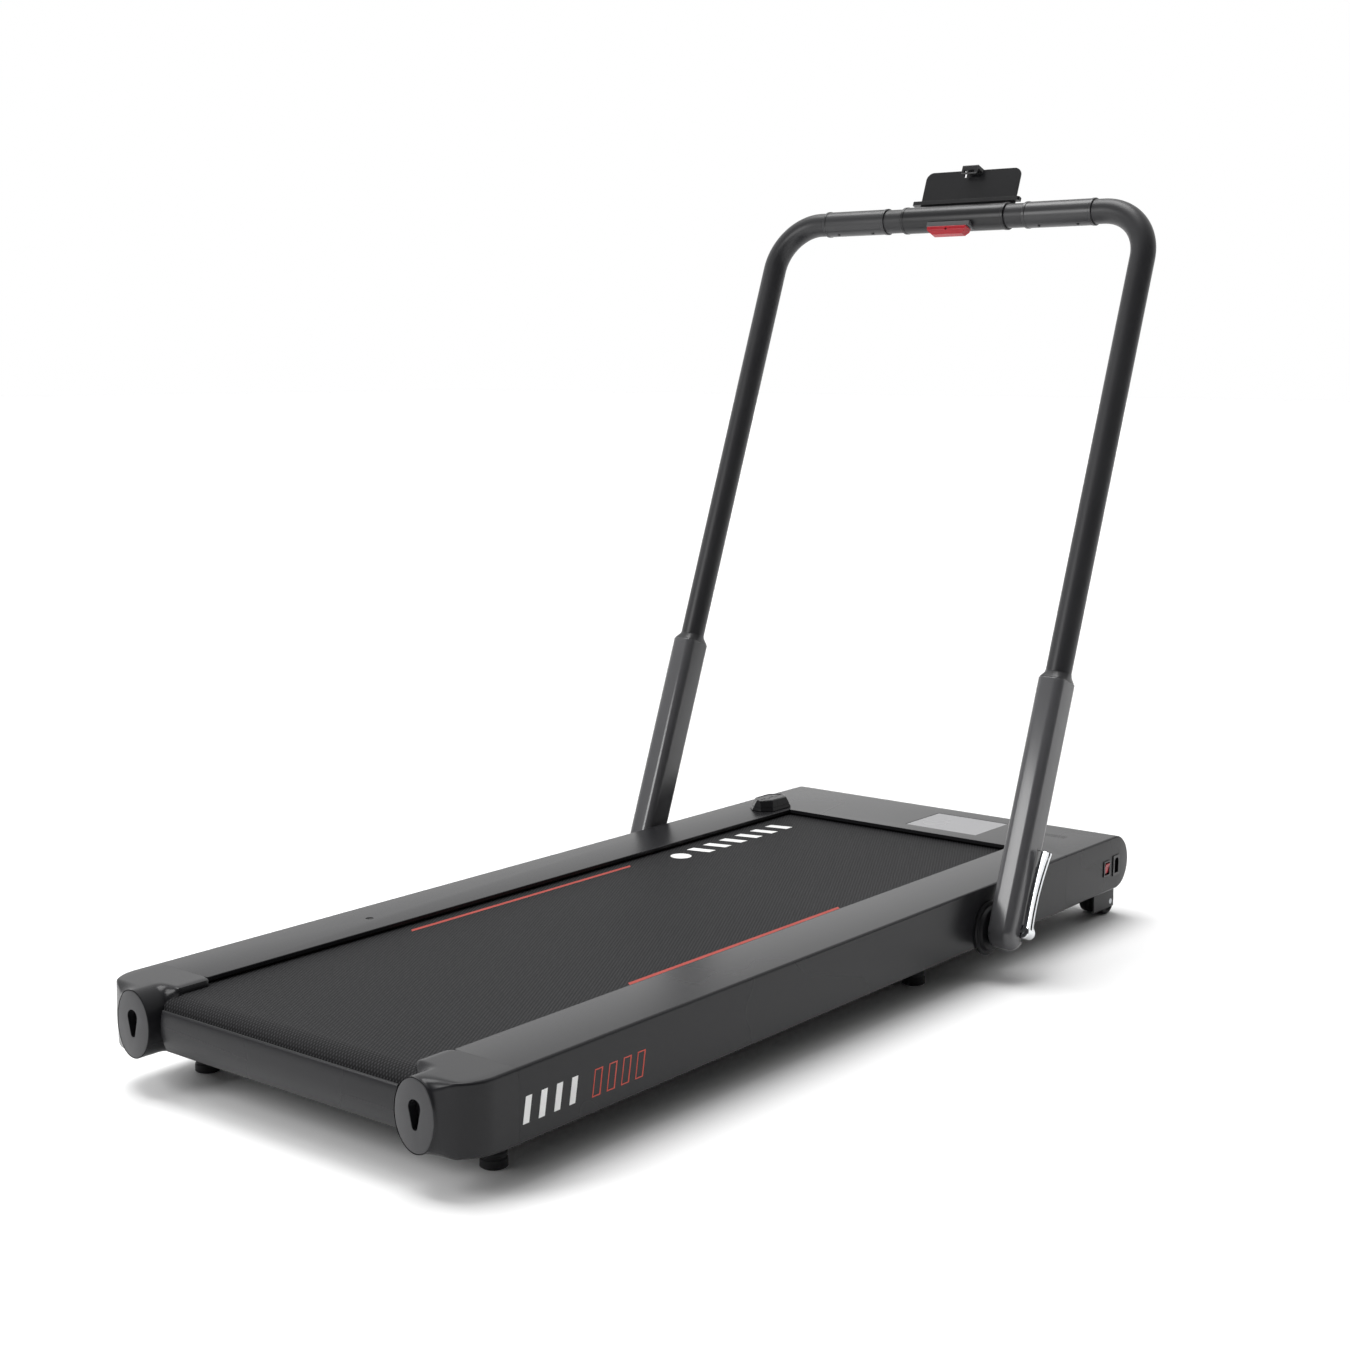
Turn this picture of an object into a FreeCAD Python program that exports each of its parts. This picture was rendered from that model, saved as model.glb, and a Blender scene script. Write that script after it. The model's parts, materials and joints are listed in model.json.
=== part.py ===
import FreeCAD
import Part
import math
import os
import Sketcher
from types import SimpleNamespace
from FreeCAD import Placement, Rotation, Vector

# Folding flat-deck treadmill. Millimetres; +X is the walker's right, +Y points to the motor
# end, +Z is up. The origin is on the floor under the middle of the deck.

DOC = FreeCAD.newDocument("FoldingTreadmill")
SHEET = DOC.addObject("Spreadsheet::Sheet", "Sizes")
NODES = []


class Size(float):
    """A size that knows its value now and the sheet expression that gives it."""

    def __new__(cls, value, text):
        size = super().__new__(cls, value)
        size.text = text
        return size

    def __add__(self, other):
        return Size(float(self) + float(other), f"({self.text} + {text_of(other)})")

    def __radd__(self, other):
        return Size(float(other) + float(self), f"({text_of(other)} + {self.text})")

    def __sub__(self, other):
        return Size(float(self) - float(other), f"({self.text} - {text_of(other)})")

    def __rsub__(self, other):
        return Size(float(other) - float(self), f"({text_of(other)} - {self.text})")

    def __mul__(self, other):
        return Size(float(self) * float(other), f"({self.text} * {text_of(other)})")

    def __rmul__(self, other):
        return Size(float(other) * float(self), f"({text_of(other)} * {self.text})")

    def __truediv__(self, other):
        return Size(float(self) / float(other), f"({self.text} / {text_of(other)})")

    def __neg__(self):
        return Size(-float(self), f"(-1 * {self.text})")


def text_of(value):
    """The expression text of a size, or of a plain number."""
    return value.text if isinstance(value, Size) else repr(float(value))


DRIVING_SIZES = [
    ("deck_width", 570, "over the two side rails"),
    ("deck_length", 1400, "rear discs to the nose of the hood"),
    ("deck_top", 122, "floor to the top of the rails"),
    ("ground_gap", 43, "floor to the underside of the rails"),
    ("rail_width", 90, "outer face to the edge beside the belt"),
    ("hood_length", 191, "motor hood, along the deck"),
    ("cap_length", 83, "end caps, along the deck"),
    ("cap_overhang", 8, "how far a cap reaches in past its rail"),
    ("cap_corner", 50, "rear corner of a cap, seen from above"),
    ("cap_wall", 9, "rear wall of a cap"),
    ("shell_wall", 2.5, "moulded covers"),
    ("edge_round", 4, "top edges of the covers"),
    ("lip_depth", 5, "lip that hides the edge of the belt"),
    ("nose_top_round", 40, "hood nose, upper curve"),
    ("nose_low_round", 37, "hood nose, lower curve"),
    ("belt_tuck", 5, "edge of the belt hidden under each lip"),
    ("belt_thickness", 1.8, "two-ply belt"),
    ("belt_drop", 8, "belt below the rail tops"),
    ("board_thickness", 18, "deck board"),
    ("cushion_height", 4.2, "rubber cushions under the board"),
    ("board_clearance", 12, "board end to roller"),
    ("roller_radius", 21, "both rollers"),
    ("roller_wall", 3, "roller tube"),
    ("running_gap", 0.3, "between moving pieces and their neighbours"),
    ("front_roller_inset", 31, "rear edge of the hood to the front roller"),
    ("rear_roller_inset", 45, "rear discs to the rear roller"),
    ("axle_radius", 6, "roller axles"),
    ("member_inset", 30, "outer face of a rail to a frame member"),
    ("member_width", 30, "steel frame members"),
    ("member_height", 40, "steel frame members"),
    ("member_wall", 2, "steel frame members"),
    ("member_end_gap", 30, "nose of the hood to the frame members"),
    ("tube_radius", 17.5, "handrail tube"),
    ("tube_wall", 1.8, "handrail tube"),
    ("bend_radius", 72, "handrail tube, on its centre line"),
    ("lean", 20.5, "handrail in use, degrees from upright"),
    ("pivot_setback", 408, "nose of the hood to the handrail pivot"),
    ("pivot_height", 65, "floor to the handrail pivot"),
    ("fold_gap", 6.5, "folded grips to the rear discs"),
    ("arm_gap", 9.3, "rail to handrail arm"),
    ("arm_cheek", 1.5, "arm wall on each side of the tube"),
    ("arm_depth", 50, "arm, along the machine"),
    ("arm_length", 342, "pivot to the top of an arm"),
    ("arm_round", 12, "long edges of an arm"),
    ("socket_depth", 212, "tube inside an arm"),
    ("pin_radius", 7, "hinge pins"),
    ("pin_cover", 10.3, "end of a hinge pin to the outer face of its arm"),
    ("bush_wall", 2, "hinge bushes"),
    ("pin_fit", 0.06, "hinge pin in its bush, on the radius"),
    ("boss_radius", 36, "hinge boss beside the rail"),
    ("grip_wall", 2, "grips"),
    ("grip_gap", 13.3, "grip to the bend of the tube"),
    ("grip_length", 110, "grips"),
    ("console_gap", 30, "console shell to a grip"),
    ("console_wall", 2.5, "console shell"),
    ("plate_margin", 7, "end of the console to the telephone plate"),
    ("plate_height", 77, "telephone plate"),
    ("plate_thickness", 3, "telephone plate"),
    ("plate_round", 12, "top corners of the plate"),
    ("ledge_gap", 10, "top of the console to the telephone ledge"),
    ("ledge_height", 6, "telephone ledge"),
    ("notch_width", 30, "notch in the top of the plate"),
    ("notch_depth", 11, "notch in the top of the plate"),
    ("key_width", 66, "safety key"),
    ("lever_width", 20, "release levers"),
    ("lever_length", 108, "release levers, from their pins"),
    ("display_width", 120, "display window"),
    ("display_length", 95, "display window"),
    ("display_setback", 68, "nose of the hood to the display window"),
    ("wheel_radius", 20, "transport wheels"),
    ("wheel_width", 38, "transport wheels"),
    ("wheel_setback", 28, "nose of the hood to the wheel axles"),
    ("wheel_inset", 35, "outer face of a rail to the middle of a wheel"),
    ("motor_radius", 31, "motor can"),
    ("motor_setback", 82, "nose of the hood to the motor shaft"),
    ("motor_height", 83, "floor to the motor shaft"),
    ("motor_pulley_radius", 12, "motor pulley"),
    ("roller_pulley_radius", 25, "pulley on the front roller"),
    ("pulley_width", 13, "both pulleys"),
    ("disc_inset", 62, "outer face of a rail to a keyhole slot"),
    ("slot_wide", 8.5, "upper end of a keyhole slot, radius"),
    ("slot_narrow", 4, "lower end of a keyhole slot, radius"),
    ("slot_height", 32, "keyhole slot"),
    ("foot_radius", 15, "rubber feet"),
    ("foot_setback", 91, "pivot to the middle feet"),
    ("remote_width", 45, "remote control"),
    ("remote_length", 75, "remote control"),
    ("remote_height", 17, "remote control"),
    ("remote_corner", 14, "cut corners of the remote control"),
    ("remote_slope", 6, "sloping sides of the remote control"),
    ("remote_inset", 31, "inner edge of the rail to the remote control"),
    ("remote_setback", 198, "nose of the hood to the remote control"),
    ("oil_radius", 5, "oiling hole"),
    ("oil_inset", 49, "outer face of the rail to the oiling hole"),
    ("oil_setback", 285, "end cap to the oiling hole"),
    ("speaker_inset", 71, "outer face of a rail to the speaker"),
    ("speaker_setback", 94, "nose of the hood to the speaker"),
    ("switch_setback", 68, "nose of the hood to the power switch"),
    ("inlet_setback", 39, "nose of the hood to the power inlet"),
    ("socket_height", 36, "underside of the rails to the switch and inlet"),
    ("rear_foot_gap", 60, "rear roller to the rear feet"),
    ("screw_radius", 2, "pan screws"),
    ("trunnion_radius", 1.5, "pivot of the power rocker"),
]

for row, (word, number, note) in enumerate(DRIVING_SIZES, 1):
    SHEET.set(f"A{row}", word)
    SHEET.set(f"B{row}", str(number))
    SHEET.setAlias(f"B{row}", word)
    SHEET.set(f"C{row}", note)
DOC.recompute()
S = SimpleNamespace(**{w: Size(SHEET.get(w), f"Sizes.{w}") for w, n, t in DRIVING_SIZES})

# Lines and levels that several pieces share.
half_width = S.deck_width / 2
rail_inner = half_width - S.rail_width
front = S.deck_length / 2
back = -front
hood_back = front - S.hood_length
cap_front = back + S.cap_length
belt_half = rail_inner + S.belt_tuck
belt_top = S.deck_top - S.belt_drop
belt_under = belt_top - S.belt_thickness
roller_z = belt_under - S.running_gap - S.roller_radius
front_roller_y = hood_back + S.front_roller_inset
rear_roller_y = back + S.rear_roller_inset
board_under = belt_under - S.board_thickness
member_top = board_under - S.cushion_height
member_base = member_top - S.member_height
member_outer = half_width - S.member_inset
member_inner = member_outer - S.member_width
pivot_y = front - S.pivot_setback
arm_inner = half_width + S.arm_gap
tube_x = arm_inner + S.arm_cheek + S.tube_radius
arm_width = (S.arm_cheek + S.tube_radius) * 2
arm_outer = arm_inner + arm_width
pin_reach = arm_width - S.pin_cover
grip_radius = S.tube_radius + S.grip_wall
console_radius = S.tube_radius + S.console_wall
bar_reach = pivot_y - back + S.fold_gap + grip_radius
grip_start = tube_x - S.bend_radius - S.grip_gap - S.grip_length
console_half = grip_start - S.console_gap
plate_half = console_half - S.plate_margin
motor_y = front - S.motor_setback
wheel_x = half_width - S.wheel_inset
wheel_y = front - S.wheel_setback
disc_x = half_width - S.disc_inset
oil_x = S.oil_inset - half_width
oil_y = cap_front + S.oil_setback
speaker_x = half_width - S.speaker_inset
speaker_y = front - S.speaker_setback
switch_y = front - S.switch_setback
inlet_y = front - S.inlet_setback
socket_z = S.ground_gap + S.socket_height
belt_wrap = S.roller_radius + S.running_gap + S.belt_thickness
screw_x = member_outer - 15
SIDES = ((-1, "left"), (1, "right"))


def bind(item, **paths):
    """Bind properties to sizes; a double underscore stands for the dot of a path."""
    for path, value in paths.items():
        item.setExpression(path.replace("__", "."), text_of(value))


def keep(item, name):
    """Name a finished sub-part and list it for export."""
    item.Label = name
    NODES.append(item)
    return item


def box(name, x, y, z):
    """A block between two values on each axis."""
    block = DOC.addObject("Part::Box", name)
    bind(block, Length=x[1] - x[0], Width=y[1] - y[0], Height=z[1] - z[0])
    bind(block, Placement__Base__x=x[0], Placement__Base__y=y[0], Placement__Base__z=z[0])
    return block


TURNS = {
    "X": Rotation(Vector(0, 1, 0), 90),
    "Y": Rotation(Vector(-1, 0, 0), 90),
    "Z": Rotation(),
}


def rod(name, axis, start, radius, length):
    """A cylinder that runs from start in the positive direction of an axis."""
    round_bar = DOC.addObject("Part::Cylinder", name)
    round_bar.Placement = Placement(Vector(), TURNS[axis])
    bind(round_bar, Radius=radius, Height=length)
    x, y, z = start
    bind(round_bar, Placement__Base__x=x, Placement__Base__y=y, Placement__Base__z=z)
    return round_bar


def cut(name, base, *tools):
    """Base with the tools taken away."""
    result = DOC.addObject("Part::Cut", name)
    result.Base = base
    result.Tool = tools[0] if len(tools) == 1 else fuse(name + "_tools", *tools)
    return result


def fuse(name, *pieces):
    """Pieces joined into one solid."""
    result = DOC.addObject("Part::MultiFuse", name)
    result.Shapes = list(pieces)
    return result


def group(name, *pieces):
    """Separate solids that share one node."""
    result = DOC.addObject("Part::Compound", name)
    result.Links = list(pieces)
    return result


def on_handrail(item):
    """Stand a piece that was drawn upright about the pivot in the handrail's lean."""
    item.Placement = Placement(Vector(), Rotation(Vector(-1, 0, 0), float(S.lean)))
    bind(item, Placement__Base__y=pivot_y, Placement__Base__z=S.pivot_height)
    bind(item, Placement__Rotation__Angle=S.lean)
    return item


def new_body(name):
    return DOC.addObject("PartDesign::Body", name)


def new_sketch(body, plane, offset):
    """A sketch on an origin plane of its body: XY faces +Z, XZ faces -Y, YZ faces +X."""
    sketch = body.newObject("Sketcher::SketchObject", body.Name + "_sketch")
    support = [item for item in body.Origin.OriginFeatures if item.Role == plane + "_Plane"]
    sketch.AttachmentSupport = (support[0], [""])
    sketch.MapMode = "FlatFace"
    bind(sketch, AttachmentOffset__Base__z=offset)
    return sketch


def arc_centre(start, end, radius, turn):
    """Centre of the shorter arc between two points; turn 1 is anticlockwise."""
    chord = end - start
    half = chord.Length / 2
    rise = math.sqrt(max(radius * radius - half * half, 0.0))
    across = Vector(-chord.y, chord.x, 0).normalize()
    return start + chord * 0.5 + across * rise * turn


def outline(sketch, points):
    """Draw a closed outline.

    Each point is (x, y) for a straight side that ends there, or (x, y, radius, turn) for an
    arc that ends there. Every point is tied to the origin by its sizes.
    """
    first = sketch.GeometryCount
    ends = []
    for number, point in enumerate(points):
        start = Vector(float(points[number - 1][0]), float(points[number - 1][1]), 0)
        end = Vector(float(point[0]), float(point[1]), 0)
        if len(point) == 2:
            sketch.addGeometry(Part.LineSegment(start, end), False)
            ends.append((1, 2))
            continue
        radius, turn = point[2], point[3]
        centre = arc_centre(start, end, float(radius), turn)
        low, high = (start, end) if turn > 0 else (end, start)
        angles = [math.atan2(p.y - centre.y, p.x - centre.x) for p in (low, high)]
        circle = Part.Circle(centre, Vector(0, 0, 1), float(radius))
        sketch.addGeometry(Part.ArcOfCircle(circle, angles[0], angles[1]), False)
        ends.append((1, 2) if turn > 0 else (2, 1))
    ties = []
    for number, point in enumerate(points):
        line = first + number
        following = first + (number + 1) % len(points)
        finish = ends[number][1]
        start = ends[(number + 1) % len(points)][0]
        sketch.addConstraint(Sketcher.Constraint("Coincident", line, finish, following, start))
        for kind, value in (("DistanceX", point[0]), ("DistanceY", point[1])):
            tie = Sketcher.Constraint(kind, -1, 1, line, finish, float(value))
            ties.append((sketch.addConstraint(tie), value))
        if len(point) == 4:
            tie = Sketcher.Constraint("Radius", line, float(point[2]))
            ties.append((sketch.addConstraint(tie), point[2]))
    for number, value in ties:
        if isinstance(value, Size):
            sketch.setExpression(f"Constraints[{number}]", value.text)


def ring(sketch, centre, radius):
    """Draw a full circle."""
    middle = Vector(float(centre[0]), float(centre[1]), 0)
    line = sketch.addGeometry(Part.Circle(middle, Vector(0, 0, 1), float(radius)), False)
    for kind, value in (("DistanceX", centre[0]), ("DistanceY", centre[1])):
        tie = sketch.addConstraint(Sketcher.Constraint(kind, -1, 1, line, 3, float(value)))
        if isinstance(value, Size):
            sketch.setExpression(f"Constraints[{tie}]", value.text)
    tie = sketch.addConstraint(Sketcher.Constraint("Radius", line, float(radius)))
    if isinstance(radius, Size):
        sketch.setExpression(f"Constraints[{tie}]", radius.text)


def pad(body, sketch, length):
    """Raise a sketch by a length along its normal."""
    feature = body.newObject("PartDesign::Pad", body.Name + "_pad")
    feature.Profile = sketch
    bind(feature, Length=length)
    sketch.Visibility = False
    return feature


def pocket(body, sketch, length):
    """Cut a sketch into its body along the sketch's normal, and see that it does cut."""
    DOC.recompute()
    before = body.Shape.Volume
    feature = body.newObject("PartDesign::Pocket", body.Name + "_pocket")
    feature.Profile = sketch
    feature.Reversed = True
    bind(feature, Length=length)
    DOC.recompute()
    if not body.Shape.Volume < before - 0.1:
        raise RuntimeError(f"{feature.Name} cuts nothing")
    return feature


def round_edges(body, radius, choose):
    """Round the edges of a body for which choose(bounding box) is true."""
    DOC.recompute()
    base = body.Tip
    names = [f"Edge{n}" for n, edge in enumerate(base.Shape.Edges, 1) if choose(edge.BoundBox)]
    feature = body.newObject("PartDesign::Fillet", body.Name + "_round")
    feature.Base = (base, names)
    bind(feature, Radius=radius)
    return feature


def near(value, target):
    return abs(value - float(target)) < 0.01


def flat_at(low, high, target):
    """True where an edge lies wholly at one coordinate."""
    return near(low, target) and near(high, target)


def slot_points(x, radius):
    """Keyhole slot, wide at the top and level there with the roller axle."""
    low = roller_z + S.slot_wide - S.slot_height + S.slot_narrow
    return [
        (x + radius, roller_z),
        (x, roller_z + radius, radius, 1),
        (x - radius, roller_z, radius, 1),
        (x - S.slot_narrow, low),
        (x, low - S.slot_narrow, S.slot_narrow, 1),
        (x + S.slot_narrow, low, S.slot_narrow, 1),
    ]


def make_side_rail(side, name):
    """C-shaped cover from the end cap to the hood, with a lip over the edge of the belt."""
    body = new_body(name)
    sketch = new_sketch(body, "XZ", -hood_back)
    top, wall, base = S.deck_top, S.shell_wall, S.ground_gap
    flange = member_outer + 7
    profile = [
        (half_width, base),
        (half_width, top),
        (rail_inner, top),
        (rail_inner, top - S.lip_depth),
        (rail_inner + wall, top - S.lip_depth),
        (rail_inner + wall, top - wall),
        (half_width - wall, top - wall),
        (half_width - wall, base + wall),
        (flange, base + wall),
        (flange, base),
    ]
    outline(sketch, [(side * x, z) for x, z in profile])
    pad(body, sketch, hood_back - cap_front)
    hole = new_sketch(body, "YZ", side * half_width - (S.shell_wall + 1 if side > 0 else 1))
    ring(hole, (pivot_y, S.pivot_height), S.pin_radius + 0.5)
    pocket(body, hole, S.shell_wall + 2)
    if side < 0:
        oil = new_sketch(body, "XY", S.deck_top - S.shell_wall - 1)
        ring(oil, (oil_x, oil_y), S.oil_radius)
        pocket(body, oil, S.shell_wall + 2)
    edge = side * half_width
    round_edges(
        body,
        S.edge_round - 2,
        lambda b: flat_at(b.ZMin, b.ZMax, top) and flat_at(b.XMin, b.XMax, edge),
    )
    keep(body, name)


def make_end_cap(side, name):
    """Rear end of a rail: rounded corner, hollow from the front, keyhole slot at the back."""
    body = new_body(name)
    inner = rail_inner - S.cap_overhang
    corner, wall = S.cap_corner, S.shell_wall
    turn = -side
    outer = [
        (side * inner, cap_front),
        (side * half_width, cap_front),
        (side * half_width, back + corner),
        (side * (half_width - corner), back, corner, turn),
        (side * inner, back),
    ]
    sketch = new_sketch(body, "XY", S.ground_gap)
    outline(sketch, outer)
    pad(body, sketch, S.deck_top - S.ground_gap)
    round_edges(body, S.edge_round, lambda b: flat_at(b.YMin, b.YMax, back) and b.ZLength < 1)
    hollow = new_sketch(body, "XY", S.ground_gap + wall)
    rear_inside = back + S.cap_wall
    inside_corner = corner - S.cap_wall
    outline(
        hollow,
        [
            (side * (inner + wall), cap_front + 5),
            (side * (half_width - wall), cap_front + 5),
            (side * (half_width - wall), rear_inside + inside_corner),
            (side * (half_width - wall - inside_corner), rear_inside, inside_corner, turn),
            (side * (inner + wall), rear_inside),
        ],
    )
    pocket(body, hollow, S.deck_top - S.ground_gap - wall * 2)
    passage = new_sketch(body, "YZ", side * inner - (1 if side > 0 else wall + 1))
    rear_limit = rear_roller_y - belt_wrap - 1.5
    low, high = S.ground_gap + wall, belt_top + 1.2
    outline(
        passage,
        [
            (rear_limit, low),
            (cap_front + 1, low),
            (cap_front + 1, high),
            (rear_limit, high),
        ],
    )
    pocket(body, passage, wall + 2)
    slot = new_sketch(body, "XZ", -rear_inside - 1)
    outline(slot, slot_points(side * disc_x, S.slot_wide))
    pocket(body, slot, S.cap_wall + 2)
    keep(body, name)


def make_rear_guard():
    """Curved panel that closes the gap between the end caps behind the rear roller."""
    body = new_body("rear_guard")
    half = rail_inner - S.cap_overhang - 0.5
    sketch = new_sketch(body, "YZ", -half)
    low, high, wall = S.ground_gap + 11, S.deck_top - 20, S.shell_wall
    low_y, high_y, bow = back + 18, back + 13, 60
    outline(
        sketch,
        [
            (low_y + wall, low),
            (high_y + wall, high, bow, -1),
            (high_y, high),
            (low_y, low, bow, 1),
        ],
    )
    pad(body, sketch, half * 2)
    keep(body, "rear_guard")


def make_hood():
    """Motor hood: nose rounded above and below, open under the motor, rear lip over the belt."""
    body = new_body("motor_hood")
    top, base, wall = S.deck_top, S.ground_gap, S.shell_wall
    high, low = S.nose_top_round, S.nose_low_round
    sketch = new_sketch(body, "YZ", -half_width)
    outline(
        sketch,
        [
            (hood_back, base),
            (front - low, base),
            (front, base + low, low, 1),
            (front, top - high),
            (front - high, top, high, 1),
            (hood_back, top),
        ],
    )
    pad(body, sketch, S.deck_width)
    for side in (-1, 1):
        edge = side * half_width
        round_edges(
            body,
            S.edge_round - 2,
            lambda b: flat_at(b.XMin, b.XMax, edge) and b.ZMax > float(base) + 1 and b.YLength > 1,
        )
    inside = new_sketch(body, "YZ", wall - half_width)
    outline(
        inside,
        [
            (hood_back + wall, base + wall),
            (front - low, base + wall),
            (front - wall, base + low, low - wall, 1),
            (front - wall, top - high),
            (front - high, top - wall, high - wall, 1),
            (hood_back + wall, top - wall),
        ],
    )
    pocket(body, inside, S.deck_width - wall * 2)
    edge_in = half_width - wall
    rear = ((-edge_in, base - 1), (edge_in, top - S.lip_depth))
    floor = ((-edge_in, hood_back - 1), (edge_in, front - low - 8))
    for plane, offset, corners in (
        ("XZ", -hood_back - wall - 1, rear),
        ("XY", base - 1, floor),
        ("XY", top - wall - 1, display_corners(0.2)),
        ("YZ", edge_in - 1, switch_corners(0.2)),
        ("YZ", edge_in - 1, inlet_corners(0.2)),
    ):
        (x0, y0), (x1, y1) = corners
        hole = new_sketch(body, plane, offset)
        outline(hole, [(x0, y0), (x1, y0), (x1, y1), (x0, y1)])
        pocket(body, hole, wall + 2)
    holes = new_sketch(body, "XY", top - wall - 1)
    for line in range(3):
        for place in range(9):
            ring(holes, (speaker_x - 16 + 4 * place, speaker_y - 5 + 5 * line), 1.1)
    pocket(body, holes, wall + 2)
    keep(body, "motor_hood")


def display_corners(slack):
    """Opening for the display window, with slack all round."""
    rear = front - S.display_setback - S.display_length
    return (
        (-slack, rear - slack),
        (S.display_width + slack, rear + S.display_length + slack),
    )


def side_corners(y, half_wide, half_high, slack):
    """Opening in the right side of the hood about a point at the level of the sockets."""
    wide, high = half_wide + slack, half_high + slack
    return (y - wide, socket_z - high), (y + wide, socket_z + high)


def switch_corners(slack):
    return side_corners(switch_y, 8, 10, slack)


def inlet_corners(slack):
    return side_corners(inlet_y, 8, 13, slack)


def make_hood_fittings():
    """What sits in the hood: display, speaker, power inlet and the bezel of the switch."""
    (x0, y0), (x1, y1) = display_corners(0)
    under = S.deck_top - S.shell_wall
    window = box("display_window", (x0, x1), (y0, y1), (under, S.deck_top - 0.3))
    keep(window, "display_window")
    module_base = belt_top + 1
    module = box("display_module", (x0 - 5, x1 + 5), (y0 - 5, y1 + 5), (module_base, under))
    keep(module, "display_module")
    keep(rod("speaker", "Z", (speaker_x, speaker_y, under - 15), 20, 15), "speaker")
    skin = half_width
    (y0, z0), (y1, z1) = inlet_corners(0)
    shell = box("inlet_shell", (skin - 23, skin), (y0, y1), (z0, z1))
    flange = box("inlet_flange", (skin, skin + 1.5), (y0 - 2, y1 + 2), (z0 - 2, z1 + 2))
    socket = box("inlet_socket", (skin - 16, skin + 2), (y0 + 2.2, y1 - 2.2), (z0 + 2, z1 - 2))
    blades = []
    for number in range(3):
        z = socket_z + 7 * (number - 1)
        y = inlet_y
        blade = box(f"inlet_blade_{number}", (skin - 18, skin - 4), (y - 1, y + 1), (z - 2, z + 2))
        blades.append(blade)
    inlet = cut("inlet_case", fuse("inlet_block", shell, flange), socket)
    keep(fuse("power_inlet", inlet, *blades), "power_inlet")
    (y0, z0), (y1, z1) = switch_corners(0)
    case = box("switch_case", (skin - 15, skin), (y0, y1), (z0, z1))
    rim = box("switch_rim", (skin, skin + 1.5), (y0 - 1.5, y1 + 1.5), (z0 - 1.5, z1 + 1.5))
    well = box("switch_well", (skin - 9, skin + 2), (y0 + 1.5, y1 - 1.5), (z0 + 0.8, z1 - 0.8))
    sockets = rod(
        "switch_sockets",
        "Y",
        (skin - 2.5, switch_y - 7.5, socket_z),
        S.trunnion_radius + S.pin_fit,
        15,
    )
    keep(cut("switch_bezel", fuse("switch_block", case, rim), well, sockets), "switch_bezel")


def make_rocker():
    """Rocker of the power switch, upper half out when the power is off."""
    body = new_body("power_rocker")
    skin = half_width
    sketch = new_sketch(body, "XZ", -switch_y - 6)
    outline(
        sketch,
        [
            (skin - 6.5, socket_z - 7.4),
            (skin - 0.4, socket_z - 7.4),
            (skin + 2.6, socket_z + 7.4),
            (skin - 6.5, socket_z + 7.4),
        ],
    )
    pad(body, sketch, 12)
    trunnion = new_sketch(body, "XZ", -switch_y - 7.3)
    ring(trunnion, (skin - 2.5, socket_z), S.trunnion_radius)
    pad(body, trunnion, 14.6)
    keep(body, "power_rocker")


def pan_screw_places():
    """Side, name, number and position of each screw that holds the pan to the frame."""
    return [
        (side, word, place, side * screw_x, hood_back + 16 + 42 * place)
        for side, word in SIDES
        for place in range(3)
    ]


def make_belly_pan():
    """Steel tray that closes the motor bay from below, with cooling slots."""
    half = member_outer + 7
    low, thick = S.ground_gap, 2
    plate = box(
        "pan_plate",
        (-half, half),
        (hood_back + 1, front - S.nose_low_round - 9),
        (low, low + thick),
    )
    holes = []
    for number in range(8):
        x = 20 + 14 * number
        slot = box(
            f"pan_slot_{number}",
            (x, x + 6),
            (hood_back + 70, hood_back + 120),
            (low - 1, low + thick + 1),
        )
        holes.append(slot)
    for side, word, place, x, y in pan_screw_places():
        start = (x, y, low - 1)
        hole = rod(f"{word}_pan_hole_{place}", "Z", start, S.screw_radius + 0.2, thick + 2)
        holes.append(hole)
    keep(cut("belly_pan", plate, *holes), "belly_pan")


def make_belt():
    """Endless running belt round both rollers."""
    body = new_body("running_belt")
    sketch = new_sketch(body, "YZ", -belt_half)
    inner = S.roller_radius + S.running_gap
    outer = inner + S.belt_thickness
    for r in (outer, inner):
        outline(
            sketch,
            [
                (front_roller_y, roller_z - r),
                (front_roller_y + r, roller_z, r, 1),
                (front_roller_y, roller_z + r, r, 1),
                (rear_roller_y, roller_z + r),
                (rear_roller_y - r, roller_z, r, 1),
                (rear_roller_y, roller_z - r, r, 1),
            ],
        )
    pad(body, sketch, belt_half * 2)
    keep(body, "running_belt")


def make_deck():
    """Running board and the rubber cushions that carry it on the frame members."""
    start = rear_roller_y + S.roller_radius + S.board_clearance
    end = front_roller_y - S.roller_radius - S.board_clearance
    half = member_outer - 5
    body = new_body("deck_board")
    sketch = new_sketch(body, "XY", board_under)
    outline(sketch, [(-half, start), (half, start), (half, end), (-half, end)])
    pad(body, sketch, S.board_thickness)
    keep(body, "deck_board")
    middle = (member_inner + member_outer) / 2
    pads = []
    for side, word in SIDES:
        for place in range(4):
            y = start + 60 + (end - start - 120) * place / 3
            pads.append(
                box(
                    f"{word}_cushion_{place}",
                    (side * middle - 12, side * middle + 12),
                    (y - 20, y + 20),
                    (member_top, board_under),
                )
            )
    keep(group("deck_cushions", *pads), "deck_cushions")


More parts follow.
